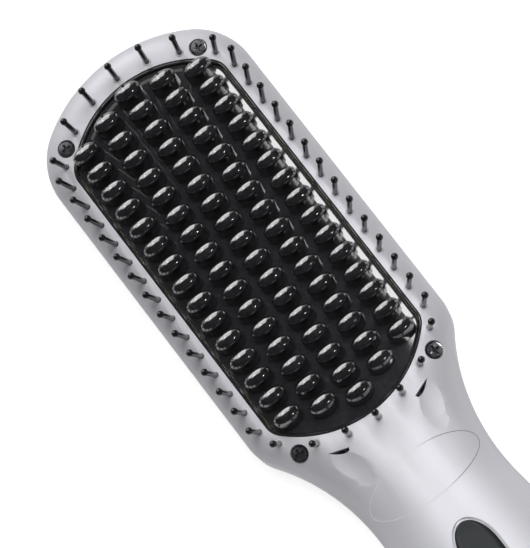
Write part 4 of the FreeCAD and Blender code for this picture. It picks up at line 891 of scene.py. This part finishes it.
def front_skin():
    """Silver front half with its bed opening, screw wells, slits, thumb reliefs, panel slot and filler."""
    shell = shell_blank("front_skin", FRONT, finish("silver_paint"))
    cutters = [prism("cut_bed", bed_plan(0.0), *CUT_THROUGH)]
    cutters += [prism("cut_screw", round_plan(x, s, HEAD_WELL), seat + 0.2, CUT_THROUGH[1])
                for x, s, seat in head_screw_spots()]
    cutters += [prism("cut_slit", crescent_plan(hand), *CUT_THROUGH) for hand in (1, -1)]
    cutters.append(prism("cut_panel", panel_plan(0.15), *CUT_THROUGH))
    cutters.append(prism("cut_filler", round_plan(0, FILLER_STATION, FILLER_HOLE), *CUT_THROUGH))
    carve(shell, [join("cut_through", cutters)])
    recess = prism("cut_seat", round_plan(0, FILLER_STATION, FILLER_RECESS), filler_seat(), CUT_THROUGH[1])
    carve(shell, [join("cut_reliefs", [relief_bar(1), relief_bar(-1)]), recess, bevel_cutter()])
    return settle(shade(shell), BODY, "silver_paint", "front_shell")


def filler_seat():
    return surface_z(0, FILLER_STATION) - FILLER_SUNK


def rear_skin():
    """Silver back half with its two screw wells."""
    shell = shell_blank("rear_skin", BACK, finish("silver_paint"))
    wells = [prism("cut_well", round_plan(hand * REAR_SCREW_X, REAR_SCREW_STATION, REAR_WELL), -5.0, REAR_SEAT)
             for hand in (1, -1)]
    carve(shell, [join("cut_wells", wells)])
    return settle(shade(shell), BODY, "silver_paint", "rear_shell")


# ------------------------------------------------------------------ bed
def rolled(centre, z, radius, start, end, steps):
    """Profile points of a rounded edge; angles in degrees from the outside upwards."""
    turns = [math.radians(start + (end - start) * i / steps) for i in range(steps + 1)]
    return [(centre - radius * math.cos(turn), z + radius * math.sin(turn)) for turn in turns]


def rim_piece():
    """Thin dark lip round the bed, with a rounded crest."""
    outer, inner = 0.3, 1.0
    crest = (inner - outer) / 2
    profile = [(inner, PLATE_Z), (outer, PLATE_Z)]
    profile += rolled((outer + inner) / 2, RIM_Z - crest, crest, 0, 180, 8)
    rows = [[at(x, s, z) for x, s in bed_plan(inset)] for inset, z in profile]
    return settle(skin("bed_lip", rows, finish("bezel_lip"), loop=True), BODY, "bezel_lip", "bed_rim")


def plate_piece():
    """Dark glazed plate with a bevelled margin and a rolled edge."""
    inset, flat, slope, edge = 1.2, 3.7, 0.31, 0.3
    fall = slope * (flat - inset)
    profile = [(inset, PLATE_Z)] + rolled(inset + edge, BED_Z - fall - edge, edge, 0, 90, 5)
    for i in range(1, 11):
        share = i / 10
        profile.append((inset + edge + (flat - inset - edge) * share, BED_Z - fall * (1 - share) ** 1.06))
    rows = [[at(x, s, z) for x, s in bed_plan(taken_in)] for taken_in, z in profile]
    plate = skin("glazed_plate", rows, finish("coated_plate"), caps=True)
    return settle(plate, BODY, "coated_plate", "heating_plate")


def stud_source():
    """One oval stud with a domed top, standing at the origin."""
    settings = sizes()
    across, along = settings.stud_across / 2, settings.stud_along / 2
    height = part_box("heated_studs")[1].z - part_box("heated_studs")[0].z
    shoulder = height - settings.stud_dome
    steps, rings = 40, 9
    levels = [(1.0, -0.6 * MM), (1.0, shoulder * 0.5)]
    for i in range(rings):
        turn = math.pi / 2 * i / rings
        levels.append((math.cos(turn), shoulder + settings.stud_dome * math.sin(turn)))
    build = bmesh.new()
    rows = grid_faces(build, [[(across * share * x, along * share * y, z) for x, y in circle(steps)]
                              for share, z in levels], close_columns=True)
    top = build.verts.new((0, 0, height))
    for i in range(steps):
        build.faces.new((rows[-1][i - 1], rows[-1][i], top))
    build.faces.new(rows[0][::-1])
    return from_bmesh("stud_source", build, sharp=math.radians(60))


MIDDLE_STUDS = 17


def stud_spots():
    """Staggered columns of studs about the middle of the bed."""
    settings = sizes()
    middle = (BED_START + BED_END) / 2
    spots = []
    for column in range(-2, 3):
        count = MIDDLE_STUDS - abs(column)
        for i in range(count):
            point = at(0, middle, BED_Z)
            point.x = column * settings.column_pitch
            point.y -= (i - (count - 1) / 2) * settings.stud_pitch
            spots.append((point, UP))
    return spots


PIN_OFFSET = 2.25
PIN_PITCH = 7.05
SIDE_PINS = 14


def pin_spots():
    """Point on the bezel and direction of every guard pin round the bed."""
    plan = []
    half = BED_HALF + PIN_OFFSET
    last = SIDE_PINS - 1
    first = (BED_START + BED_END) / 2 - last / 2 * PIN_PITCH + 0.3
    for i in range(SIDE_PINS):
        plan += [(hand * half, first + PIN_PITCH * i, hand * 8.0, 5.0 - 6.0 * i / last) for hand in (1, -1)]
    for (centre, radius, corner, heading), (step, corner_angle, leans, corner_lean) in zip(BED_ENDS, (
            (15.2, 41.0, (4.5, 6.0, 6.0), (7.2, 2.2)), (14.7, 46.0, (2.2, 2.2, 7.5), (5.0, 5.4)))):
        reach = radius + PIN_OFFSET
        for count in (-2, -1, 0, 1, 2):
            turn = math.radians(step * count)
            lean = leans[abs(count)]
            plan.append((reach * math.sin(turn), centre - heading * reach * math.cos(turn),
                         lean * math.sin(turn), lean * heading * math.cos(turn)))
        corner_x, short, _ = corner_arc(BED_HALF, radius, corner)
        corner_s = centre - heading * short
        turn = math.radians(corner_angle)
        for hand in (1, -1):
            plan.append((hand * (corner_x + (corner + PIN_OFFSET) * math.cos(turn)),
                         corner_s - heading * (corner + PIN_OFFSET) * math.sin(turn),
                         hand * corner_lean[0], heading * corner_lean[1]))
    spots = []
    for x, station, across, along in plan:
        direction = Vector((math.tan(math.radians(across)), math.tan(math.radians(along)), 1.0)).normalized()
        spots.append((at(x, station, surface_z(x, station)), direction))
    return spots


def pin_source():
    """One ball-tipped pin whose foot is hidden under the bezel."""
    settings = sizes()
    radius, ball = settings.pin_radius / MM, settings.pin_ball / MM
    top = (settings.pin_height - settings.pin_ball) / MM
    profile = [(0.0, -2.6), (1.15, -2.6), (1.15, -2.3), (radius, -2.2), (radius, 0.0), (radius * 0.97, top - 2.0)]
    meet = math.asin(radius * 0.97 / ball)
    for i in range(9):
        turn = meet + (math.pi - meet) * i / 8
        profile.append((ball * math.sin(turn), top - ball * math.cos(turn)))
    return lathe("pin_source", profile, Vector(), UP, 14, sharp=math.radians(50))


def collar_source():
    """Low pale collar that each pin stands in."""
    profile = [(0.84, -0.5), (0.84, 0.10), (0.95, 0.26), (1.12, 0.28), (1.3, 0.14), (1.38, -0.5)]
    return lathe("collar_source", profile, Vector(), UP, 20, sharp=math.radians(60))


def screw_source():
    """Cross-head screw, the underside of its head at the origin."""
    radius = sizes().screw_head / MM
    height = 1.7
    profile = [(0.0, -12.0), (1.25, -12.0), (1.25, 0.0), (radius, 0.0), (radius, height - 0.45),
               (radius - 0.18, height - 0.16), (radius - 0.5, height), (0.0, height)]
    screw = lathe("screw_source", profile, Vector(), UP, 40)
    cutters = []
    for slot in (((1.5, 1.0), (0.32, 0.0)), ((0.32, 0.0), (1.5, 1.0))):
        rings = []
        for z, shrink in ((height + 0.5, 0.0), (height, 0.0), (height - 0.9, 0.65)):
            half_x, half_y = (side * (1 - shrink * tapers) for side, tapers in slot)
            rings.append([Vector((x * half_x, y * half_y, z)) * MM for x, y in ((1, 1), (-1, 1), (-1, -1), (1, -1))])
        cutters.append(skin("cut_cross", rings, caps=True))
    return shade(carve(screw, cutters))


# ------------------------------------------------------------------ panel, buttons, plug and swivel
def draped(name, rows_plan, top_of, depth, material=None):
    """Closed plate over rows of plan points, its top following a height; depth is a number or the underside."""
    low_of = depth if callable(depth) else lambda x, s: top_of(x, s) - depth
    build = bmesh.new()
    top, low = (grid_faces(build, [[at(x, s, height_of(x, s)) for x, s in row] for row in rows_plan])
                for height_of in (top_of, low_of))
    close_sides(build, top, low)
    close_sides(build, list(zip(*top)), list(zip(*low)))
    return from_bmesh(name, build, material)


def panel_piece():
    """Dark inlay along the grip, with holes for the window and the buttons."""
    def top_of(x, s):
        return surface_z(x, s) - PANEL_SUNK - edge_roll(panel_half(s) - abs(x))

    panel = draped("control_inlay", panel_rows(), top_of, 2.0, finish("panel_dark"))
    cutters = [prism("cut_button", round_plan(0, s, CAP_RADIUS + 0.3), *CUT_THROUGH) for s in BUTTONS.values()]
    window = rounded_box_plan(WINDOW_WIDTH + 0.2, WINDOW_LENGTH + 0.2, WINDOW_STATION, 1.3)
    carve(panel, [join("cut_panel_holes", cutters + [prism("cut_window", window, *CUT_THROUGH)])])
    return settle(shade(panel), BODY, "panel_dark", "control_panel")


def edge_roll(distance, radius=0.35):
    """How far a rolled edge has dropped at a distance from it."""
    if distance >= radius:
        return 0.0
    return radius - math.sqrt(max(0.0, radius ** 2 - (radius - max(0.0, distance)) ** 2))


def rounded_box_plan(width, length, station, corner, steps=8):
    half_w, half_l = width / 2 - corner, length / 2 - corner
    points = []
    for x, s, start in ((half_w, station - half_l, 0), (-half_w, station - half_l, 90),
                        (-half_w, station + half_l, 180), (half_w, station + half_l, 270)):
        points += arc_points(x, s, corner, start, start + 90, steps)
    return points


def window_piece():
    """Smoked window flush with the inlay."""
    rows = [[(WINDOW_WIDTH * (i / 8 - 0.5), WINDOW_STATION + WINDOW_LENGTH * (k / 12 - 0.5)) for i in range(9)]
            for k in range(13)]
    made = draped("display_window", rows, lambda x, s: surface_z(x, s) - PANEL_SUNK, 1.2,
                  finish("display_smoke"))
    return settle(made, BODY, "display_smoke", "display_lens")


def dished(x, s, station):
    """Height of the slightly hollow top of a button over a point in plan."""
    share = math.hypot(x, s - station) / CAP_RADIUS
    return surface_z(x, s) + CAP_PROUD - CAP_DISH * (1 - share ** 2)


def button_piece(name, station):
    """Round cap with a soft edge that follows the handle, on a flange and a stem."""
    rows = [[at(x, s, dished(x, s, station) - drop) for x, s in round_plan(0, station, radius)]
            for radius, drop in ((0.0, 0.0), (1.2, 0.0), (2.4, 0.0), (3.2, 0.0), (3.55, 0.06), (3.78, 0.2),
                                 (CAP_RADIUS, 0.42))]
    base = surface_z(0, station) - 2.5
    for radius, z in ((CAP_RADIUS, base), (4.7, base), (4.7, base - 0.9), (2.0, base - 0.9), (2.0, STEM_FOOT),
                      (0.0, STEM_FOOT)):
        rows.append([at(x, s, z) for x, s in round_plan(0, station, radius)])
    return settle(skin(name + "_cap", rows, finish("button_plastic")), name, "button_plastic", name)


def straight(first, last, count):
    return [tuple(a + (b - a) * i / count for a, b in zip(first, last)) for i in range(count + 1)]


ACROSS = straight((-1.3, 0), (1.3, 0), 4)
SIGNS = {    # width and middle lines of a button's sign, about the button's centre
    "minus_button": (0.42, [ACROSS]),
    "plus_button": (0.42, [ACROSS, straight((0, -1.3), (0, -0.215), 2), straight((0, 0.215), (0, 1.3), 2)]),
    "power_button": (0.36, [arc_points(0, 0, 1.35, 125, 415, 24), straight((0, -1.75), (0, -0.25), 3)]),
    "steam_button": (0.32, [[(x + 0.22 * math.sin(i * 0.9), -1.3 + 0.26 * i) for i in range(11)]
                            for x in (-0.9, 0.0, 0.9)]),
}


def icon_piece(name, station):
    """Plain raised sign on a button: plus, minus, power or steam."""
    width, strokes = SIGNS[name]
    parts = []
    for points in strokes:
        rows = []
        for i, (x, s) in enumerate(points):
            before, after = points[max(0, i - 1)], points[min(len(points) - 1, i + 1)]
            along = Vector((after[0] - before[0], after[1] - before[1])).normalized() * width / 2
            rows.append([(x + hand * along.y, station + s - hand * along.x) for hand in (1, -1)])
        parts.append(draped("stroke", rows, lambda x, s: dished(x, s, station) + 0.05, 0.2,
                            finish("icon_white")))
    return settle(shade(join(name + "_sign", parts)), name, "button_plastic")


def plug_piece():
    """Soft filler plug with a rounded head, a pull tab and a ribbed stem."""
    seat = filler_seat()
    top, radius, edge = seat + 1.7, 6.1, 0.5
    stem, rib, neck = 3.0, 3.3, 3.1
    profile = [(0.0, seat - 5.0), (stem, seat - 5.0), (rib, seat - 4.6), (rib, seat - 3.6), (neck, seat - 3.4),
               (neck, seat - 2.6), (rib, seat - 2.4), (rib, seat), (radius, seat)]
    profile += rolled(radius - edge, top - edge, edge, 180, 90, 5)
    profile += [(4.6, top), (4.4, top - 0.2), (3.9, top - 0.2), (3.7, top), (0.0, top)]
    head = lathe("plug_head", profile, at(0, FILLER_STATION), UP, 64, finish("seal_rubber"))
    rows = []
    root, tip, half_tab = 4.6, 10.1, 2.5
    for i in range(17):
        beyond = root + (tip - root) * math.sin(math.pi / 2 * i / 16)
        reach = max(0.0, beyond - (tip - half_tab)) / half_tab
        half = half_tab * math.sqrt(max(0.02, 1 - min(1.0, reach) ** 2))
        rows.append([(half * (k / 4 - 1), FILLER_STATION + beyond) for k in range(9)])
    tab = draped("plug_tab", rows, lambda x, s: top - 0.02, 0.85, finish("seal_rubber"))
    return settle(shade(join("filler_plug", [head, tab])), "tank_plug", "seal_rubber", "tank_plug")


def swivel_piece():
    """Turning bush for the supply cord, with a grooved collar."""
    nose = TIP_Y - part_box("cord_swivel")[0].y / MM - SHELL_LENGTH
    profile = [(3.1, -4.55), (6.4, -4.55), (6.4, -2.35), (5.0, -2.35), (5.0, 0.3), (6.3, 0.3), (6.6, 0.6),
               (6.6, 1.0), (6.4, 1.1), (6.4, 1.3), (6.6, 1.4), (6.6, 1.8), (6.3, 2.1), (5.0, 2.1),
               (4.45, nose - 0.5), (4.1, nose), (3.4, nose), (3.1, nose - 0.3), (3.1, -4.55)]
    made = lathe("cord_bush", profile, at(0, SHELL_LENGTH, PARTING_Z), Vector((0, -1, 0)), 72,
                 finish("swivel_plastic"))
    return settle(made, "cord_swivel", "swivel_plastic", "cord_swivel")


def neck_line():
    """Fine oval line on the neck whose colour paints the light and shade of a crease: painted highlight at the left,
    painted shade at the right.
    """
    rows = []
    for cos, sin in circle(200):
        x, s = NECK_LINE_ACROSS * cos, NECK_LINE_STATION + NECK_LINE_ALONG * sin
        point = at(x, s, surface_z(x, s))
        out = Vector((cos / NECK_LINE_ACROSS, -sin / NECK_LINE_ALONG, 0)).normalized()
        # wider at the right and towards the handle, where the line carries the painted shade
        lean = cos * math.cos(0.35) + sin * math.sin(0.35)
        width = 0.055 + 0.075 * smooth((lean + 0.75) / 1.4)
        rows.append([point + out * width * MM, point + UP * 0.02 * MM, point - out * width * MM,
                     point - UP * 0.2 * MM])
    return settle(skin("neck_line", rows, finish("neck_line"), loop=True), BODY, "silver_paint")


# ------------------------------------------------------------------ operators
class BRUSH_OT_shells(bpy.types.Operator):
    """Builds the painted front and back halves"""
    bl_idname = "brush.shells"
    bl_label = "Shells"

    def execute(self, context):
        front_skin()
        rear_skin()
        neck_line()
        return {"FINISHED"}


class BRUSH_OT_bed(bpy.types.Operator):
    """Builds the lip and the glazed plate of the bristle bed"""
    bl_idname = "brush.bed"
    bl_label = "Bristle bed"

    def execute(self, context):
        rim_piece()
        plate_piece()
        return {"FINISHED"}


class BRUSH_OT_studs(bpy.types.Operator):
    """Sets the domed studs on the plate"""
    bl_idname = "brush.studs"
    bl_label = "Heated studs"

    def execute(self, context):
        studs = set_copies("domed_studs", stud_source(), stud_spots(), finish("coated_stud"))
        settle(studs, BODY, "coated_stud", "heated_studs")
        return {"FINISHED"}


class BRUSH_OT_pins(bpy.types.Operator):
    """Sets the guard pins and their collars round the bed"""
    bl_idname = "brush.pins"
    bl_label = "Guard pins"

    def execute(self, context):
        spots = pin_spots()
        pins = set_copies("ball_pins", pin_source(), spots, finish("pin_plastic"))
        settle(pins, BODY, "pin_plastic", "guard_pins")
        collars = set_copies("pin_collars", collar_source(), spots, finish("silver_paint"))
        settle(collars, BODY, "silver_paint")
        return {"FINISHED"}


class BRUSH_OT_screws(bpy.types.Operator):
    """Sets the cross-head screws of the head and of the back"""
    bl_idname = "brush.screws"
    bl_label = "Screws"

    def execute(self, context):
        front = [(at(*spot), UP) for spot in head_screw_spots()]
        screws = set_copies("bezel_screws", screw_source(), front, finish("dark_screw"))
        settle(screws, BODY, "dark_screw", "head_screws")
        back = [(at(hand * REAR_SCREW_X, REAR_SCREW_STATION, REAR_SEAT), -UP) for hand in (1, -1)]
        screws = set_copies("grip_screws", screw_source(), back, finish("dark_screw"))
        settle(screws, BODY, "dark_screw", "rear_screws")
        return {"FINISHED"}


class BRUSH_OT_panel(bpy.types.Operator):
    """Builds the inlay, its window, the buttons and their signs"""
    bl_idname = "brush.panel"
    bl_label = "Control panel"

    def execute(self, context):
        panel_piece()
        window_piece()
        for name, station in BUTTONS.items():
            button_piece(name, station)
            icon_piece(name, station)
        return {"FINISHED"}


class BRUSH_OT_fittings(bpy.types.Operator):
    """Builds the filler plug and the cord bush"""
    bl_idname = "brush.fittings"
    bl_label = "Plug and bush"

    def execute(self, context):
        plug_piece()
        swivel_piece()
        return {"FINISHED"}


class BRUSH_OT_inner(bpy.types.Operator):
    """Gives every inner piece its finish"""
    bl_idname = "brush.inner"
    bl_label = "Inner pieces"

    def execute(self, context):
        slots = {part["node"]: part["material_slot"] for part in frame["record"]["subparts"]}
        for name, node in frame["nodes"].items():
            node.data.materials.clear()
            node.data.materials.append(finish("seal_rubber" if "nozzle" in name else slots[name]))
        return {"FINISHED"}


class BRUSH_OT_studio(bpy.types.Operator):
    """Sets the floor, the lamps, the tent, the world and the camera"""
    bl_idname = "brush.studio"
    bl_label = "Studio"

    def execute(self, context):
        floor()
        lamps()
        dark_tent()
        world()
        camera()
        context.scene.view_settings.view_transform = "Standard"
        return {"FINISHED"}


# ------------------------------------------------------------------ studio
def seen_rays(tree):
    """1 for camera, glossy and transmission rays, else 0."""
    path = add_node(tree, "ShaderNodeLightPath", {})
    seen = path["Is Camera Ray"]
    for ray in ("Is Glossy Ray", "Is Transmission Ray"):
        seen = add_node(tree, "ShaderNodeMath", {0: seen, 1: path[ray]}, operation="MAXIMUM")["Value"]
    return seen


def sheet(name, points, faces, cloth, shader):
    """Flat sheets of the studio with a plain material; returns them and the material's tree."""
    mesh = bpy.data.meshes.new(name)
    mesh.from_pydata(points, [], faces)
    material = bpy.data.materials.new(cloth)
    material.use_nodes = True
    for key, value in shader.items():
        material.node_tree.nodes["Principled BSDF"].inputs[key].default_value = value
    return new_object(name, mesh, material), material.node_tree


def floor():
    """Plain white floor that keeps the shadow."""
    half = studio().floor_size / 2
    made, tree = sheet("studio_floor", [(-half, -half, 0), (half, -half, 0), (half, half, 0), (-half, half, 0)],
                       [(0, 1, 2, 3)], "white_floor",
                       {"Base Color": (0.35, 0.35, 0.355, 1.0), "Roughness": 0.9, "Specular IOR Level": 0.1,
                        "Emission Color": (1.0, 1.0, 1.0, 1.0)})
    made.location.z = cad_bounds[0].z - 0.02 * MM
    lift = add_node(tree, "ShaderNodeMath", {0: seen_rays(tree), 1: 0.8}, operation="MULTIPLY")["Value"]
    tree.links.new(lift, tree.nodes["Principled BSDF"].inputs["Emission Strength"])


def dark_tent():
    """Dark ceiling and walls, open beyond the tip, that keep the glaze black."""
    half, top, bottom = 2.4, 1.9, 0.12
    corners = [(-half, half), (-half, -half), (half, -half), (half, half)]
    made, _ = sheet("studio_tent", [(x, y, z) for z in (bottom, top) for x, y in corners],
                    [(0, 1, 5, 4), (1, 2, 6, 5), (2, 3, 7, 6), (4, 5, 6, 7)], "dark_cloth",
                    {"Base Color": (0.02, 0.02, 0.021, 1.0), "Specular IOR Level": 0.0})
    made.visible_camera = False


def lamp(name, place, aim, width, height, watts):
    """Rectangular soft box that points at a place."""
    data = bpy.data.lights.new(name, "AREA")
    data.shape = "RECTANGLE"
    data.size, data.size_y = width, height
    data.energy = watts
    made = new_object(name, data)
    made.location = place
    made.rotation_mode = "QUATERNION"
    made.rotation_quaternion = (aim - place).to_track_quat("-Z", "Y")
    return made


def light_only(source, pieces, state):
    """Lets a lamp reach only the named pieces, or with EXCLUDE all but them."""
    group = bpy.data.collections.new(source.name + "_pieces")
    for name in pieces:
        group.objects.link(bpy.data.objects[name])
    for entry in group.collection_objects:
        entry.light_linking.link_state = state
    source.light_linking.receiver_collection = group


def lamps():
    """Soft boxes beyond the tip, at the right and overhead, small lamps for the paint and the screws."""
    aim = Vector((0.0, 0.06, 0.03))
    painted = ("front_skin", "rear_skin", "neck_line", "pin_collars")
    not_tips = painted + ("glazed_plate",)

    def towards(across, along, distance):
        """Place at two angles off the vertical, in degrees."""
        lean_x, lean_y = math.tan(math.radians(across)), math.tan(math.radians(along))
        return aim + Vector((lean_x, lean_y, 1.0)).normalized() * distance

    for name, place, goal, width, height, watts, unseen, state, pieces in (
            ("tip_softbox_left", towards(-32, 57, 1.2), aim, 0.42, 1.4, 6.8, "diffuse", "EXCLUDE", not_tips),
            ("tip_softbox_right", towards(12, 57, 1.2), aim, 0.74, 1.4, 13.5, "diffuse", "EXCLUDE", not_tips),
            ("right_softbox", towards(38, 8, 1.0), aim, 1.1, 0.5, 18.0, "diffuse", "INCLUDE",
             ("glazed_plate", "bed_lip")),
            ("right_edge_strip", towards(80, 20, 1.0), aim, 0.6, 0.06, 0.9, "diffuse", "EXCLUDE", painted),
            ("overhead_fill", towards(8, 0, 1.3), aim, 0.7, 0.7, 24.0, "glossy", "EXCLUDE", painted),
            ("overhead_softbox", towards(21, 12, 1.3), aim, 0.6, 0.6, 4.5, None, "INCLUDE", painted),
            ("tip_lamp", towards(3, 58, 1.2), aim, 0.16, 0.3, 4.3, None, "INCLUDE", painted),
            ("neck_lamp", Vector((0.02, -0.05, 0.3)), Vector((0.0, -0.05, 0.0)), 0.44, 0.12, 0.6, None,
             "INCLUDE", painted),
            ("right_screw_lamp", Vector((0.09, 0.075, 0.06)), Vector((0.024, 0.075, 0.03)), 0.12, 0.02, 0.7,
             None, "INCLUDE", ("bezel_screws",)),
            ("handle_lamp", towards(32, -48, 1.1), aim, 0.09, 0.05, 0.9, None, "EXCLUDE", painted)):
        source = lamp(name, place, goal, width, height, watts)
        if unseen:
            setattr(source, "visible_" + unseen, False)
        light_only(source, pieces, state)


def world():
    """Even pale surroundings, white where they are seen."""
    made = bpy.data.worlds.new("studio_world")
    made.use_nodes = True
    tree = made.node_tree
    background = tree.nodes["Background"]
    background.inputs["Color"].default_value = (1.0, 1.0, 1.0, 1.0)
    level = add_node(tree, "ShaderNodeMapRange", {
        "To Min": studio().world_light, "To Max": 1.0, "Value": seen_rays(tree)})["Result"]
    tree.links.new(level, background.inputs["Strength"])
    bpy.context.scene.world = made


VIEW_X = -0.7
VIEW_STATION = BED_END - 51.5
VIEW_UP = (0.6115, 0.7912)    # up of the picture, across and along the brush
SENSOR = 36.0


def camera():
    """Camera above the head, tilted towards the handle and rolled."""
    settings = studio()
    data = bpy.data.cameras.new("camera")
    made = new_object("camera", data)
    back = Vector((0, -math.sin(settings.tilt), math.cos(settings.tilt)))
    along = Vector((0, math.cos(settings.tilt), math.sin(settings.tilt)))
    up = (Vector((1, 0, 0)) * VIEW_UP[0] + along * VIEW_UP[1]).normalized()
    turn = Matrix((up.cross(back), up, back)).transposed()
    target = at(VIEW_X, VIEW_STATION, surface_z(0, VIEW_STATION))
    made.location = target + back * settings.distance
    made.rotation_mode = "QUATERNION"
    made.rotation_quaternion = turn.to_quaternion()
    data.sensor_width = SENSOR
    data.lens = SENSOR * settings.distance / settings.field
    data.clip_start, data.clip_end = 0.05, 20.0
    bpy.context.scene.camera = made


class BRUSH_PT_panel(bpy.types.Panel):
    """Lists the brush's pieces in the sidebar"""
    bl_idname = "BRUSH_PT_panel"
    bl_label = "Straightener Brush"
    bl_space_type = "VIEW_3D"
    bl_region_type = "UI"
    bl_category = "Brush"

    def draw(self, context):
        for operator in OPERATORS:
            self.layout.operator(operator.bl_idname)
        for group in (sizes(), colours(), studio()):
            box = self.layout.box()
            for name in group.__annotations__:
                box.prop(group, name)


OPERATORS = (BRUSH_OT_shells, BRUSH_OT_bed, BRUSH_OT_studs, BRUSH_OT_pins, BRUSH_OT_screws, BRUSH_OT_panel,
             BRUSH_OT_fittings, BRUSH_OT_inner, BRUSH_OT_studio)
SETTINGS = {"brush_sizes": BrushSizes, "brush_colours": BrushColours, "brush_studio": StudioSettings}
CLASSES = (*SETTINGS.values(), *OPERATORS, BRUSH_PT_panel)


def register():
    for made in CLASSES:
        bpy.utils.register_class(made)
    for name, group in SETTINGS.items():
        setattr(bpy.types.Scene, name, PointerProperty(type=group))


def unregister():
    for name in SETTINGS:
        delattr(bpy.types.Scene, name)
    for made in reversed(CLASSES):
        bpy.utils.unregister_class(made)


def main():
    register()
    for operator in OPERATORS:
        group, name = operator.bl_idname.split(".")
        getattr(getattr(bpy.ops, group), name)()


if __name__ == "__main__":
    main()
